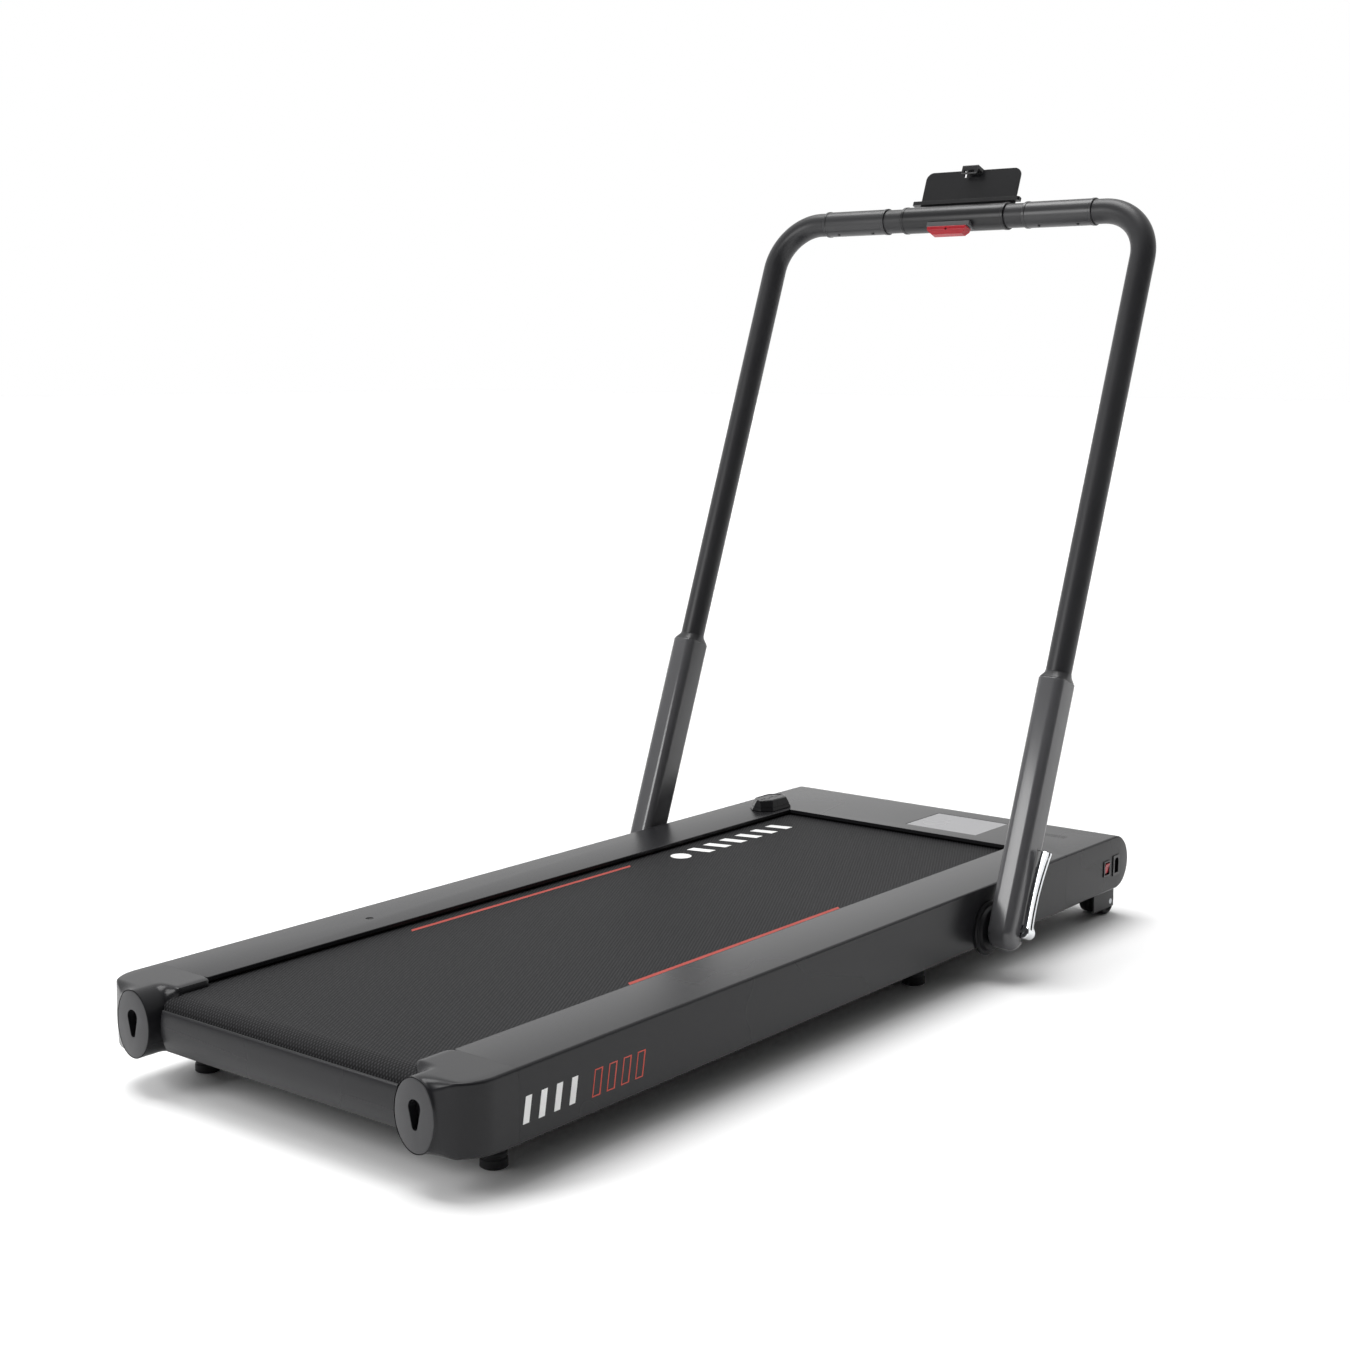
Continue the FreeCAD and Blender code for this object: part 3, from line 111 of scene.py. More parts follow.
@dataclass(frozen=True)
class Finish:
    """A surface finish with fine relief, cloudy colour and uneven roughness.

    Attributes:
        name: Name of the material.
        tone: sRGB code of the usual colour.
        other: sRGB code that the colour drifts to.
        smooth: Lowest roughness.
        rough: Highest roughness.
        grain: Size of the fine relief in millimetres.
        depth: Height of the fine relief in millimetres.
        cloud: Size of the colour and roughness drift in millimetres.
        metal: Whether the surface is bare metal.
        coat: Weight of a clear coat.
        sheen: Specular level; half is a common plastic.
    """

    name: str
    tone: str
    other: str
    smooth: float = 0.4
    rough: float = 0.5
    grain: float = 1.0
    depth: float = 0.02
    cloud: float = 60.0
    metal: Metal = Metal.NO
    coat: float = 0.0
    sheen: float = 0.5

    def coordinates(self, tree: bpy.types.NodeTree) -> bpy.types.NodeSocket:
        """Where the pattern is read: metres in the object's own frame."""
        return add_node(tree, "ShaderNodeTexCoord").outputs["Object"]

    def relief(
        self, tree: bpy.types.NodeTree, place: bpy.types.NodeSocket
    ) -> bpy.types.NodeSocket:
        """Height of the fine relief, from 0 to 1.

        Args:
            tree: Tree of the material.
            place: Pattern coordinates.

        Returns:
            The height socket.
        """
        noise = add_node(
            tree,
            "ShaderNodeTexNoise",
            {"Vector": place, "Scale": 1 / (self.grain * MM), "Detail": 1.0, "Roughness": 0.5},
        )
        return noise.outputs["Fac"]

    def drift(
        self, tree: bpy.types.NodeTree, place: bpy.types.NodeSocket
    ) -> bpy.types.NodeSocket:
        """Slow drift of colour and roughness, from 0 to 1.

        Args:
            tree: Tree of the material.
            place: Pattern coordinates.

        Returns:
            The drift socket.
        """
        noise = add_node(
            tree,
            "ShaderNodeTexNoise",
            {"Vector": place, "Scale": 1 / (self.cloud * MM), "Detail": 2.0, "Roughness": 0.4},
        )
        span = add_node(
            tree,
            "ShaderNodeMapRange",
            {"Value": noise.outputs["Fac"], "From Min": 0.2, "From Max": 0.8},
        )
        return span.outputs["Result"]

    def blend(
        self,
        tree: bpy.types.NodeTree,
        place: bpy.types.NodeSocket,
        cloud: bpy.types.NodeSocket,
        height: bpy.types.NodeSocket,
    ) -> bpy.types.NodeSocket:
        """Colour of the surface.

        Args:
            tree: Tree of the material.
            place: Pattern coordinates.
            cloud: Slow drift.
            height: Fine relief.

        Returns:
            The colour socket.
        """
        mix = add_node(
            tree,
            "ShaderNodeMix",
            {0: cloud, 6: linear(self.tone), 7: linear(self.other)},
            data_type="RGBA",
        )
        return mix.outputs[2]

    def build(self) -> bpy.types.Material:
        """Make the material, or return the one made before.

        Returns:
            The material.
        """
        made = bpy.data.materials.get(self.name)
        if made:
            return made
        made = bpy.data.materials.new(self.name)
        made.use_nodes = True
        tree = made.node_tree
        tree.nodes.clear()
        place = self.coordinates(tree)
        cloud = self.drift(tree, place)
        height = self.relief(tree, place)
        uneven = add_node(
            tree,
            "ShaderNodeMapRange",
            {"Value": cloud, "To Min": self.smooth, "To Max": self.rough},
        )
        bump = add_node(
            tree,
            "ShaderNodeBump",
            {"Height": height, "Strength": 1.0, "Distance": self.depth * MM},
        )
        shader = add_node(
            tree,
            "ShaderNodeBsdfPrincipled",
            {
                "Base Color": self.blend(tree, place, cloud, height),
                "Roughness": uneven.outputs["Result"],
                "Normal": bump.outputs["Normal"],
                "Metallic": self.metal.value,
                "Coat Weight": self.coat,
                "Coat Roughness": 0.12,
            },
        )
        if self.metal is Metal.NO:
            shader.inputs["Specular IOR Level"].default_value = self.sheen
        add_node(tree, "ShaderNodeOutputMaterial", {"Surface": shader.outputs["BSDF"]})
        return made


@dataclass(frozen=True)
class WovenBelt(Finish):
    """PVC belt pressed with a diamond weave; reads the belt's own map in metres.

    Attributes:
        pitch: Width of one diamond in millimetres.
    """

    pitch: float = 4.4

    def coordinates(self, tree: bpy.types.NodeTree) -> bpy.types.NodeSocket:
        """The belt's map: metres across, then metres along."""
        return add_node(tree, "ShaderNodeUVMap", uv_map="weave").outputs["UV"]

    def relief(
        self, tree: bpy.types.NodeTree, place: bpy.types.NodeSocket
    ) -> bpy.types.NodeSocket:
        """Two crossing sets of ridges that make diamonds.

        Args:
            tree: Tree of the material.
            place: Pattern coordinates.

        Returns:
            The height socket.
        """
        split = add_node(tree, "ShaderNodeSeparateXYZ", {0: place})
        across, along = split.outputs["X"], split.outputs["Y"]
        ridges = []
        for way in (1.0, -1.0):
            lean = add_node(
                tree,
                "ShaderNodeMath",
                {0: along, 1: way * 0.55, 2: across},
                operation="MULTIPLY_ADD",
            )
            steps = add_node(
                tree,
                "ShaderNodeMath",
                {0: lean.outputs[0], 1: 1 / (self.pitch * MM)},
                operation="MULTIPLY",
            )
            wave = add_node(
                tree, "ShaderNodeMath", {0: steps.outputs[0], 1: 0.5}, operation="PINGPONG"
            )
            ridges.append(wave.outputs[0])
        both = add_node(tree, "ShaderNodeMath", {0: ridges[0], 1: ridges[1]}, operation="MULTIPLY")
        rise = add_node(
            tree, "ShaderNodeMapRange", {"Value": both.outputs[0], "From Max": 0.2}
        )
        return rise.outputs["Result"]

    def blend(
        self,
        tree: bpy.types.NodeTree,
        place: bpy.types.NodeSocket,
        cloud: bpy.types.NodeSocket,
        height: bpy.types.NodeSocket,
    ) -> bpy.types.NodeSocket:
        """Painted shade between the ridges: the hollows go near black, and the ridges keep a faint
        drift.

        Args:
            tree: Tree of the material.
            place: Pattern coordinates.
            cloud: Slow drift.
            height: Fine relief.

        Returns:
            The colour socket.
        """
        worn = super().blend(tree, place, cloud, height)
        # painted shade: the low parts of the relief are mixed to near black
        mix = add_node(
            tree,
            "ShaderNodeMix",
            {0: height, 6: linear("050506"), 7: worn},
            data_type="RGBA",
        )
        return mix.outputs[2]


@dataclass(frozen=True)
class Brushed(Finish):
    """Metal with fine parallel lines along one axis.

    Attributes:
        stretch: Scale factors that draw the grain out into lines.
    """

    stretch: Point = (0.03, 1.0, 1.0)

    def relief(
        self, tree: bpy.types.NodeTree, place: bpy.types.NodeSocket
    ) -> bpy.types.NodeSocket:
        """Grain drawn out along the brushed direction.

        Args:
            tree: Tree of the material.
            place: Pattern coordinates.

        Returns:
            The height socket.
        """
        drawn = add_node(tree, "ShaderNodeMapping", {"Vector": place, "Scale": self.stretch})
        return super().relief(tree, drawn.outputs["Vector"])


@dataclass(frozen=True)
class OrangePeel(Finish):
    """Sprayed or baked paint with the rounded dimples of powder coat."""

    def relief(
        self, tree: bpy.types.NodeTree, place: bpy.types.NodeSocket
    ) -> bpy.types.NodeSocket:
        """Rounded cells.

        Args:
            tree: Tree of the material.
            place: Pattern coordinates.

        Returns:
            The height socket.
        """
        cells = add_node(
            tree,
            "ShaderNodeTexVoronoi",
            {"Vector": place, "Scale": 1 / (self.grain * MM), "Smoothness": 0.8},
            feature="SMOOTH_F1",
        )
        return cells.outputs["Distance"]


@dataclass(frozen=True)
class Printed(Finish):
    """Screen-printed ink, thin enough in places to let the dark plastic through."""

    def blend(
        self,
        tree: bpy.types.NodeTree,
        place: bpy.types.NodeSocket,
        cloud: bpy.types.NodeSocket,
        height: bpy.types.NodeSocket,
    ) -> bpy.types.NodeSocket:
        """Ink with fine pinholes.

        Args:
            tree: Tree of the material.
            place: Pattern coordinates.
            cloud: Slow drift.
            height: Fine relief.

        Returns:
            The colour socket.
        """
        ink = super().blend(tree, place, cloud, height)
        hole = add_node(
            tree,
            "ShaderNodeMapRange",
            {"Value": height, "From Min": 0.72, "From Max": 0.78, "To Max": 0.5},
        )
        mix = add_node(
            tree,
            "ShaderNodeMix",
            {0: hole.outputs["Result"], 6: ink, 7: linear("303032")},
            data_type="RGBA",
        )
        return mix.outputs[2]


# Satin charcoal ABS of the rails, caps and hood. Real mould grain is about 0.3 mm; it is drawn
# at 2.2 mm so that it shows.
SHELL = Finish("abs_charcoal_satin", "1d1d1f", "202022", 0.25, 0.28, 2.2, 0.006, 200, sheen=0.22)
# The same ABS with a finer face, on the discs at the rear, painted lighter than the shell as
# painted light on the flat discs.
DISC_PAINTED_LIGHTER = Finish("abs_charcoal_fine_painted_lighter", "2f2f31", "323234", 0.28, 0.32, 0.7, 0.003, 60, sheen=0.4)
# Two-ply PVC belt, with painted shade in the hollows between the diamonds. Real diamonds are about
# 2.5 mm; they are drawn at 4.4 mm so that they show.
BELT = WovenBelt("pvc_belt_diamond", "343436", "373739", 0.6, 0.64, 1.0, 0.6, 240, sheen=0.13)
# Screen-printed red of the outlined bars.
RED_INK = Printed("ink_red", "cd4430", "c43c2b", 0.5, 0.6, 0.8, 0.01, 30)
# Red ink rolled into the belt, worn darker by walking.
BELT_RED = Printed("ink_red_belt", "a02c1c", "962616", 0.55, 0.65, 0.8, 0.01, 30)
# Screen-printed white of the decorative bars.
WHITE_INK = Printed("ink_white", "f1f1f0", "e6e6e5", 0.45, 0.55, 0.8, 0.01, 30)
# Powder-coated steel tube, charcoal.
TUBE = OrangePeel(
    "powder_coat_charcoal", "272729", "2a2a2c", 0.36, 0.42, 1.1, 0.012, 120, sheen=0.4
)
# Sprayed satin charcoal of the cast arms, painted lighter than charcoal as a painted reflection of
# the bright surround.
ARM = OrangePeel("satin_paint_charcoal_painted_lighter", "4c4c4e", "505052", 0.2, 0.24, 1.6, 0.004, 120, sheen=0.6)
# Moulded soft PVC of the grips.
GRIP = Finish("grip_pvc_satin", "2a2a2c", "2d2d2f", 0.28, 0.33, 0.6, 0.003, 80)
# ABS of the console shells, darker than the deck.
CONSOLE = Finish("abs_black_satin", "171719", "1a1a1c", 0.28, 0.32, 0.7, 0.003, 80, sheen=0.4)
# Grey ABS of the key seat.
SEAT = Finish("abs_grey_satin", "4a4a4c", "4e4e50", 0.34, 0.4, 0.7, 0.005, 30)
# Matt black nylon of the hinge bosses.
BOSS = Finish("nylon_black_matt", "121214", "161618", 0.5, 0.6, 0.7, 0.01, 30, sheen=0.25)
# Black ABS of small trim.
TRIM = Finish("abs_black_fine", "101012", "151517", 0.28, 0.38, 0.6, 0.01, 25)
# Glossy red ABS of the safety key and rocker.
KEY_RED = Finish("abs_red_gloss", "a81322", "9c101e", 0.22, 0.28, 0.7, 0.003, 25, sheen=0.35)
# Chrome plate of the release levers, with the faint waviness of a plated casting.
CHROME = Finish("chrome_plate", "e3e5e7", "d6d9dc", 0.05, 0.09, 9.0, 0.01, 30, Metal.YES)
# Bright zinc plate on screws, pins and axles.
ZINC = Brushed("zinc_plate", "b9bcbe", "9fa3a6", 0.28, 0.4, 0.6, 0.01, 12, Metal.YES)
# Black powder coat on the welded frame.
FRAME_COAT = OrangePeel("powder_coat_black", "232325", "29292b", 0.45, 0.6, 1.4, 0.04, 80)
# Enamel of the motor can.
ENAMEL = Finish("enamel_black", "1d1e21", "26272a", 0.25, 0.35, 1.5, 0.01, 40, coat=0.3)
# Turned aluminium of the two pulleys.
ALLOY = Brushed("turned_aluminium", "c6c8ca", "b0b3b5", 0.25, 0.36, 0.5, 0.008, 15, Metal.YES)
# Sintered bronze of the hinge bushes.
BRONZE = Finish("sintered_bronze", "9a7440", "846234", 0.35, 0.5, 0.4, 0.02, 10, Metal.YES)
# Waxed fibreboard of the deck.
BOARD = Finish("fibreboard_waxed", "5b4733", "6c5540", 0.5, 0.7, 0.8, 0.05, 12)
# Grey rubber of the feet and cushions, painted dark grey as painted shade so that the feet sink
# into the shadow under the deck.
FOOT_RUBBER = Finish("rubber_grey_shade_darkened", "232325", "2a2a2c", 0.6, 0.75, 0.7, 0.04, 18, sheen=0.3)
# Black rubber of the oil plug, drive belt and tyres.
BLACK_RUBBER = Finish("rubber_black", "141416", "1d1d1f", 0.55, 0.7, 0.7, 0.04, 15, sheen=0.4)
# Acrylic display window over a pale diffuser.
WINDOW = Finish("acrylic_pale", "8a8a8c", "8d8d8f", 0.26, 0.28, 3.0, 0.001, 120, sheen=0.4)


# --------------------------------------------------------------------------- solids


@dataclass
class Solid:
    """A closed mesh under construction, in millimetres."""

    mesh: bmesh.types.BMesh = field(default_factory=bmesh.new)

    @classmethod
    def loft(cls, rings: Sequence[Sequence[Point]], ends: bool = True) -> "Solid":
        """Skin a row of closed rings that have the same number of points.

        Args:
            rings: Points of each ring in turn.
            ends: Close both ends; without them the last ring meets the first.

        Returns:
            The solid, with its normals outward.
        """
        solid = cls()
        rows = [[solid.mesh.verts.new(p) for p in ring] for ring in rings]
        count = len(rows[0])
        spans = list(zip(rows, rows[1:]))
        if not ends:
            spans.append((rows[-1], rows[0]))
        for near, far in spans:
            for k in range(count):
                following = (k + 1) % count
                solid.mesh.faces.new((near[k], near[following], far[following], far[k]))
        if ends:
            solid.mesh.faces.new(rows[0][::-1])
            solid.mesh.faces.new(rows[-1])
        return solid.outward()

    @classmethod
    def prism(cls, outline: Sequence[Flat], axis: str, low: float, high: float) -> "Solid":
        """Raise an outline along an axis.

        Args:
            outline: Corners in the plane across the axis, in the order of the other two axes.
            axis: X, Y or Z.
            low: Start along the axis.
            high: End along the axis.

        Returns:
            The solid.
        """

        def at(flat: Flat, level: float) -> Point:
            """Put a flat point at a level along the axis."""
            a, b = flat
            return {"X": (level, a, b), "Y": (a, level, b), "Z": (a, b, level)}[axis]

        return cls.loft([[at(p, level) for p in outline] for level in (low, high)])

    @classmethod
    def block(cls, x: Flat, y: Flat, z: Flat) -> "Solid":
        """A block between two values on each axis."""
        corners = [(x[0], y[0]), (x[1], y[0]), (x[1], y[1]), (x[0], y[1])]
        return cls.prism(corners, "Z", z[0], z[1])

    @classmethod
    def lathe(
        cls, profile: Sequence[Flat], axis: str, centre: Point, steps: int = 48
    ) -> "Solid":
        """Turn a profile about an axis.

        Args:
            profile: Distance along the axis and radius, for each ring in turn.
            axis: X, Y or Z.
            centre: Point on the axis that distances are measured from.
            steps: Points in each ring.

        Returns:
            The solid.
        """
        rings = []
        for along, radius in profile:
            ring = []
            for k in range(steps):
                angle = math.tau * k / steps
                a, b = radius * math.cos(angle), radius * math.sin(angle)
                place = {"X": (along, a, b), "Y": (b, along, a), "Z": (a, b, along)}[axis]
                ring.append(tuple(c + p for c, p in zip(centre, place)))
            rings.append(ring)
        return cls.loft(rings)

    @classmethod
    def sweep(cls, path: Sequence[Vector], across: Vector, radius: float, steps: int) -> "Solid":
        """Carry a circle along a flat path.

        Args:
            path: Points of the path.
            across: Unit vector square to the plane of the path.
            radius: Radius of the circle.
            steps: Points round the circle.

        Returns:
            The solid.
        """
        rings = []
        for number, point in enumerate(path):
            before = path[max(number - 1, 0)]
            after = path[min(number + 1, len(path) - 1)]
            side = (after - before).normalized().cross(across)
            ring = []
            for k in range(steps):
                angle = math.tau * k / steps
                ring.append(
                    tuple(point + (side * math.cos(angle) + across * math.sin(angle)) * radius)
                )
            rings.append(ring)
        return cls.loft(rings)

    def outward(self) -> "Solid":
        """Turn every face outward."""
        bmesh.ops.recalc_face_normals(self.mesh, faces=self.mesh.faces)
        return self

    def moved(self, matrix: Matrix) -> "Solid":
        """Move every point."""
        bmesh.ops.transform(self.mesh, matrix=matrix, verts=self.mesh.verts)
        return self

    def copy(self) -> "Solid":
        """A second solid of the same shape."""
        return Solid(self.mesh.copy())

    def with_parts(self, *others: "Solid") -> "Solid":
        """Hold other solids as well, without joining their surfaces.

        Args:
            *others: Solids to hold.

        Returns:
            This solid.
        """
        for other in others:
            holder = bpy.data.meshes.new("holder")
            other.mesh.to_mesh(holder)
            self.mesh.from_mesh(holder)
            bpy.data.meshes.remove(holder)
        return self

    def rounded(
        self, radius: float, steps: int, choose: Callable[[Vector, Vector], bool]
    ) -> "Solid":
        """Round the edges for which choose(one end, other end) is true.

        Args:
            radius: Radius of the rounding.
            steps: Faces across the rounding.
            choose: Test on the two ends of an edge.

        Returns:
            This solid.
        """
        edges = [e for e in self.mesh.edges if choose(e.verts[0].co, e.verts[1].co)]
        bmesh.ops.bevel(
            self.mesh,
            geom=edges,
            offset=radius,
            segments=steps,
            profile=0.5,
            affect="EDGES",
            clamp_overlap=True,
        )
        return self.outward()

    def combined(self, how: str, *others: "Solid") -> "Solid":
        """Join, cut or keep the common part with other solids.

        Args:
            how: UNION, DIFFERENCE or INTERSECT.
            *others: Solids to combine with, in turn.

        Returns:
            The new solid.
        """
        base = self.loose_object("base")
        tools = [other.loose_object("tool") for other in others]
        for tool in tools:
            step = base.modifiers.new("step", "BOOLEAN")
            step.operation = how
            step.solver = "EXACT"
            step.object = tool
        graph = bpy.context.evaluated_depsgraph_get()
        mesh = bpy.data.meshes.new_from_object(base.evaluated_get(graph))
        result = Solid()
        result.mesh.from_mesh(mesh)
        for thing in (base, *tools):
            data = thing.data
            bpy.data.objects.remove(thing)
            bpy.data.meshes.remove(data)
        bpy.data.meshes.remove(mesh)
        bmesh.ops.remove_doubles(result.mesh, verts=result.mesh.verts, dist=0.0005)
        return result.outward()

    def cut(self, *others: "Solid") -> "Solid":
        """Take other solids away."""
        return self.combined("DIFFERENCE", *others)

    def loose_object(self, name: str) -> bpy.types.Object:
        """An object with this mesh, linked to the scene.

        Args:
            name: Name of the object and of its mesh.

        Returns:
            The object.
        """
        mesh = bpy.data.meshes.new(name)
        self.mesh.to_mesh(mesh)
        thing = bpy.data.objects.new(name, mesh)
        bpy.context.scene.collection.objects.link(thing)
        return thing


@dataclass(frozen=True)
class Piece:
    """How a finished solid takes its place in the model.

    Attributes:
        name: Name of the piece.
        body: CAD body it rides on.
        slot: Material slot of the record; not used.
        finish: Its finish.
        nodes: CAD nodes it stands for.
        edge: Radius of a live edge rounding in millimetres; 0 leaves edges as built.
        crease: Angle in degrees above which an edge is sharp.
    """

    name: str
    body: str
    slot: str
    finish: Finish
    nodes: tuple[str, ...] = ()
    edge: float = 0.0
    crease: float = 34.0

    def place(self, solid: Solid, rest: Matrix | None = None) -> bpy.types.Object:
        """Turn a solid in millimetres into the piece in metres.

        Args:
            solid: The shape.
            rest: Matrix from the solid's own frame to the row frame, in millimetres.

        Returns:
            The object.
        """
        if rest is not None:
            solid.moved(rest)
        solid.moved(Matrix.Scale(MM, 4))
        thing = solid.loose_object(self.name)
        thing.data.name = self.name
        return self.dress(thing)

    def dress(self, thing: bpy.types.Object) -> bpy.types.Object:
        """Finish an object, round its edges and tie it to its body.

        Args:
            thing: The object, in metres.

        Returns:
            The same object.
        """
        mesh = thing.data
        mesh.materials.clear()
        mesh.materials.append(self.finish.build())
        mesh.shade_smooth()
        mesh.set_sharp_from_angle(angle=math.radians(self.crease))
        if self.edge:
            bevel = thing.modifiers.new("edges", "BEVEL")
            bevel.width = self.edge * MM
            bevel.segments = 3
            bevel.limit_method = "ANGLE"
            bevel.angle_limit = math.radians(self.crease)
            bevel.harden_normals = True
        if self.nodes:
            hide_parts(*self.nodes)
        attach(thing, self.body)
        LOG.info("%s: %d faces", self.name, len(mesh.polygons))
        return thing


@dataclass(frozen=True)
class Repeat:
    """Copies of one small solid on a grid, made by a Geometry Nodes tree.

    Attributes:
        across: Copies along X.
        along: Copies along Y.
        pitch_x: Distance between copies along X in millimetres.
        pitch_y: Distance between copies along Y in millimetres.
        turn: Greatest random turn about Z in degrees.
        seed: Seed of the random turn.
    """

    across: int
    along: int
    pitch_x: float
    pitch_y: float
    turn: float = 0.0
    seed: int = 7

    def tree(self, item: bpy.types.Object, material: bpy.types.Material) -> bpy.types.NodeTree:
        """Build the node tree with named inputs.

        Args:
            item: Object whose mesh is copied.
            material: Material of the copies.

        Returns:
            The tree.
        """
        tree = bpy.data.node_groups.new("grid_of_copies", "GeometryNodeTree")
        face = tree.interface
        face.new_socket(name="Geometry", in_out="OUTPUT", socket_type="NodeSocketGeometry")
        for word, kind in (
            ("Across", "NodeSocketInt"),
            ("Along", "NodeSocketInt"),
            ("Width", "NodeSocketFloat"),
            ("Length", "NodeSocketFloat"),
            ("Turn", "NodeSocketFloat"),
            ("Seed", "NodeSocketInt"),
        ):
            face.new_socket(name=word, in_out="INPUT", socket_type=kind)
        given = add_node(tree, "NodeGroupInput").outputs
        grid = add_node(
            tree,
            "GeometryNodeMeshGrid",
            {
                "Size X": given["Width"],
                "Size Y": given["Length"],
                "Vertices X": given["Across"],
                "Vertices Y": given["Along"],
            },
        )
        back = add_node(tree, "ShaderNodeMath", {0: given["Turn"], 1: -1.0}, operation="MULTIPLY")
        spin = add_node(
            tree,
            "FunctionNodeRandomValue",
            {"Seed": given["Seed"]},
            data_type="FLOAT",
        )
        ends = {"Min": back.outputs[0], "Max": given["Turn"]}
        for socket in spin.inputs:
            if socket.enabled and socket.name in ends:
                tree.links.new(ends[socket.name], socket)
        random = next(s for s in spin.outputs if s.enabled)
        aim = add_node(tree, "ShaderNodeCombineXYZ", {"Z": random})
        source = add_node(tree, "GeometryNodeObjectInfo", {"Object": item})
        copies = add_node(
            tree,
            "GeometryNodeInstanceOnPoints",
            {
                "Points": grid.outputs["Mesh"],
                "Instance": source.outputs["Geometry"],
                "Rotation": aim.outputs[0],
            },
        )
        real = add_node(tree, "GeometryNodeRealizeInstances", {0: copies.outputs[0]})
        dressed = add_node(
            tree,
            "GeometryNodeSetMaterial",
            {"Geometry": real.outputs[0], "Material": material},
        )
        add_node(tree, "NodeGroupOutput", {0: dressed.outputs[0]})
        return tree

    def make(self, item: Solid, centre: Point, finish: Finish) -> Solid:
        """Make the copies as one plain solid.

        Args:
            item: The solid to copy, built round the origin.
            centre: Middle of the grid.
            finish: Finish of the copies.

        Returns:
            All copies in one solid.
        """
        source = item.loose_object("copied_item")
        holder = Solid.block((0, 1), (0, 1), (0, 1)).loose_object("copies")
        modifier = holder.modifiers.new("copies", "NODES")
        modifier.node_group = self.tree(source, finish.build())
        values = {
            "Across": self.across,
            "Along": self.along,
            "Width": self.pitch_x * (self.across - 1),
            "Length": self.pitch_y * (self.along - 1),
            "Turn": math.radians(self.turn),
            "Seed": self.seed,
        }
        for socket in modifier.node_group.interface.items_tree:
            if socket.in_out == "INPUT":
                modifier[socket.identifier] = values[socket.name]
        graph = bpy.context.evaluated_depsgraph_get()
        mesh = bpy.data.meshes.new_from_object(holder.evaluated_get(graph))
        result = Solid()
        result.mesh.from_mesh(mesh)
        tree = modifier.node_group
        for thing in (holder, source):
            data = thing.data
            bpy.data.objects.remove(thing)
            bpy.data.meshes.remove(data)
        bpy.data.meshes.remove(mesh)
        bpy.data.node_groups.remove(tree)
        for face in result.mesh.faces:
            face.material_index = 0
        return result.moved(Matrix.Translation(centre)).outward()


# --------------------------------------------------------------------------- outlines


def arc(centre: Flat, radius: float, start: float, stop: float, steps: int) -> list[Flat]:
    """Points of an arc from one angle to another, in degrees.

    Args:
        centre: Middle of the arc.
        radius: Its radius.
        start: First angle.
        stop: Last angle.
        steps: Parts that it is divided into.

    Returns:
        The points, both ends included.
    """
    points = []
    for k in range(steps + 1):
        angle = math.radians(start + (stop - start) * k / steps)
        points.append((centre[0] + radius * math.cos(angle), centre[1] + radius * math.sin(angle)))
    return points


def smooth_step(value: float, low: float, high: float) -> float:
    """Rise smoothly from 0 at low to 1 at high."""
    share = min(max((value - low) / (high - low), 0.0), 1.0)
    return share * share * (3 - 2 * share)


def slanted_bar(start: Flat, length: float, height: float, slant: float) -> list[Flat]:
    """A bar with sloping ends, from its lower left corner."""
    x, y = start
    return [(x, y), (x + length, y), (x + length + slant, y + height), (x + slant, y + height)]


# --------------------------------------------------------------------------- levels

LEAN = math.radians(20.5)
PIVOT = (0.0, 292.0, 65.0)
HALF_WIDTH = 285.0
RAIL_INNER = 195.0
DECK_TOP = 122.0
DECK_BASE = 43.0
FRONT = 700.0
BACK = -700.0
HOOD_BACK = 509.0
CAP_FRONT = -617.0
BELT_TOP = 114.0
SKIN = 2.5
BAR = 1018.0
REST_TOP = 1103.0
TUBE_X = 313.3
ARM_OUTER = 332.3
UPRIGHT = Matrix.Translation(PIVOT) @ Matrix(
    (
        (1, 0, 0, 0),
        (0, math.cos(LEAN), math.sin(LEAN), 0),
        (0, -math.sin(LEAN), math.cos(LEAN), 0),
        (0, 0, 0, 1),
    )
)


# --------------------------------------------------------------------------- deck


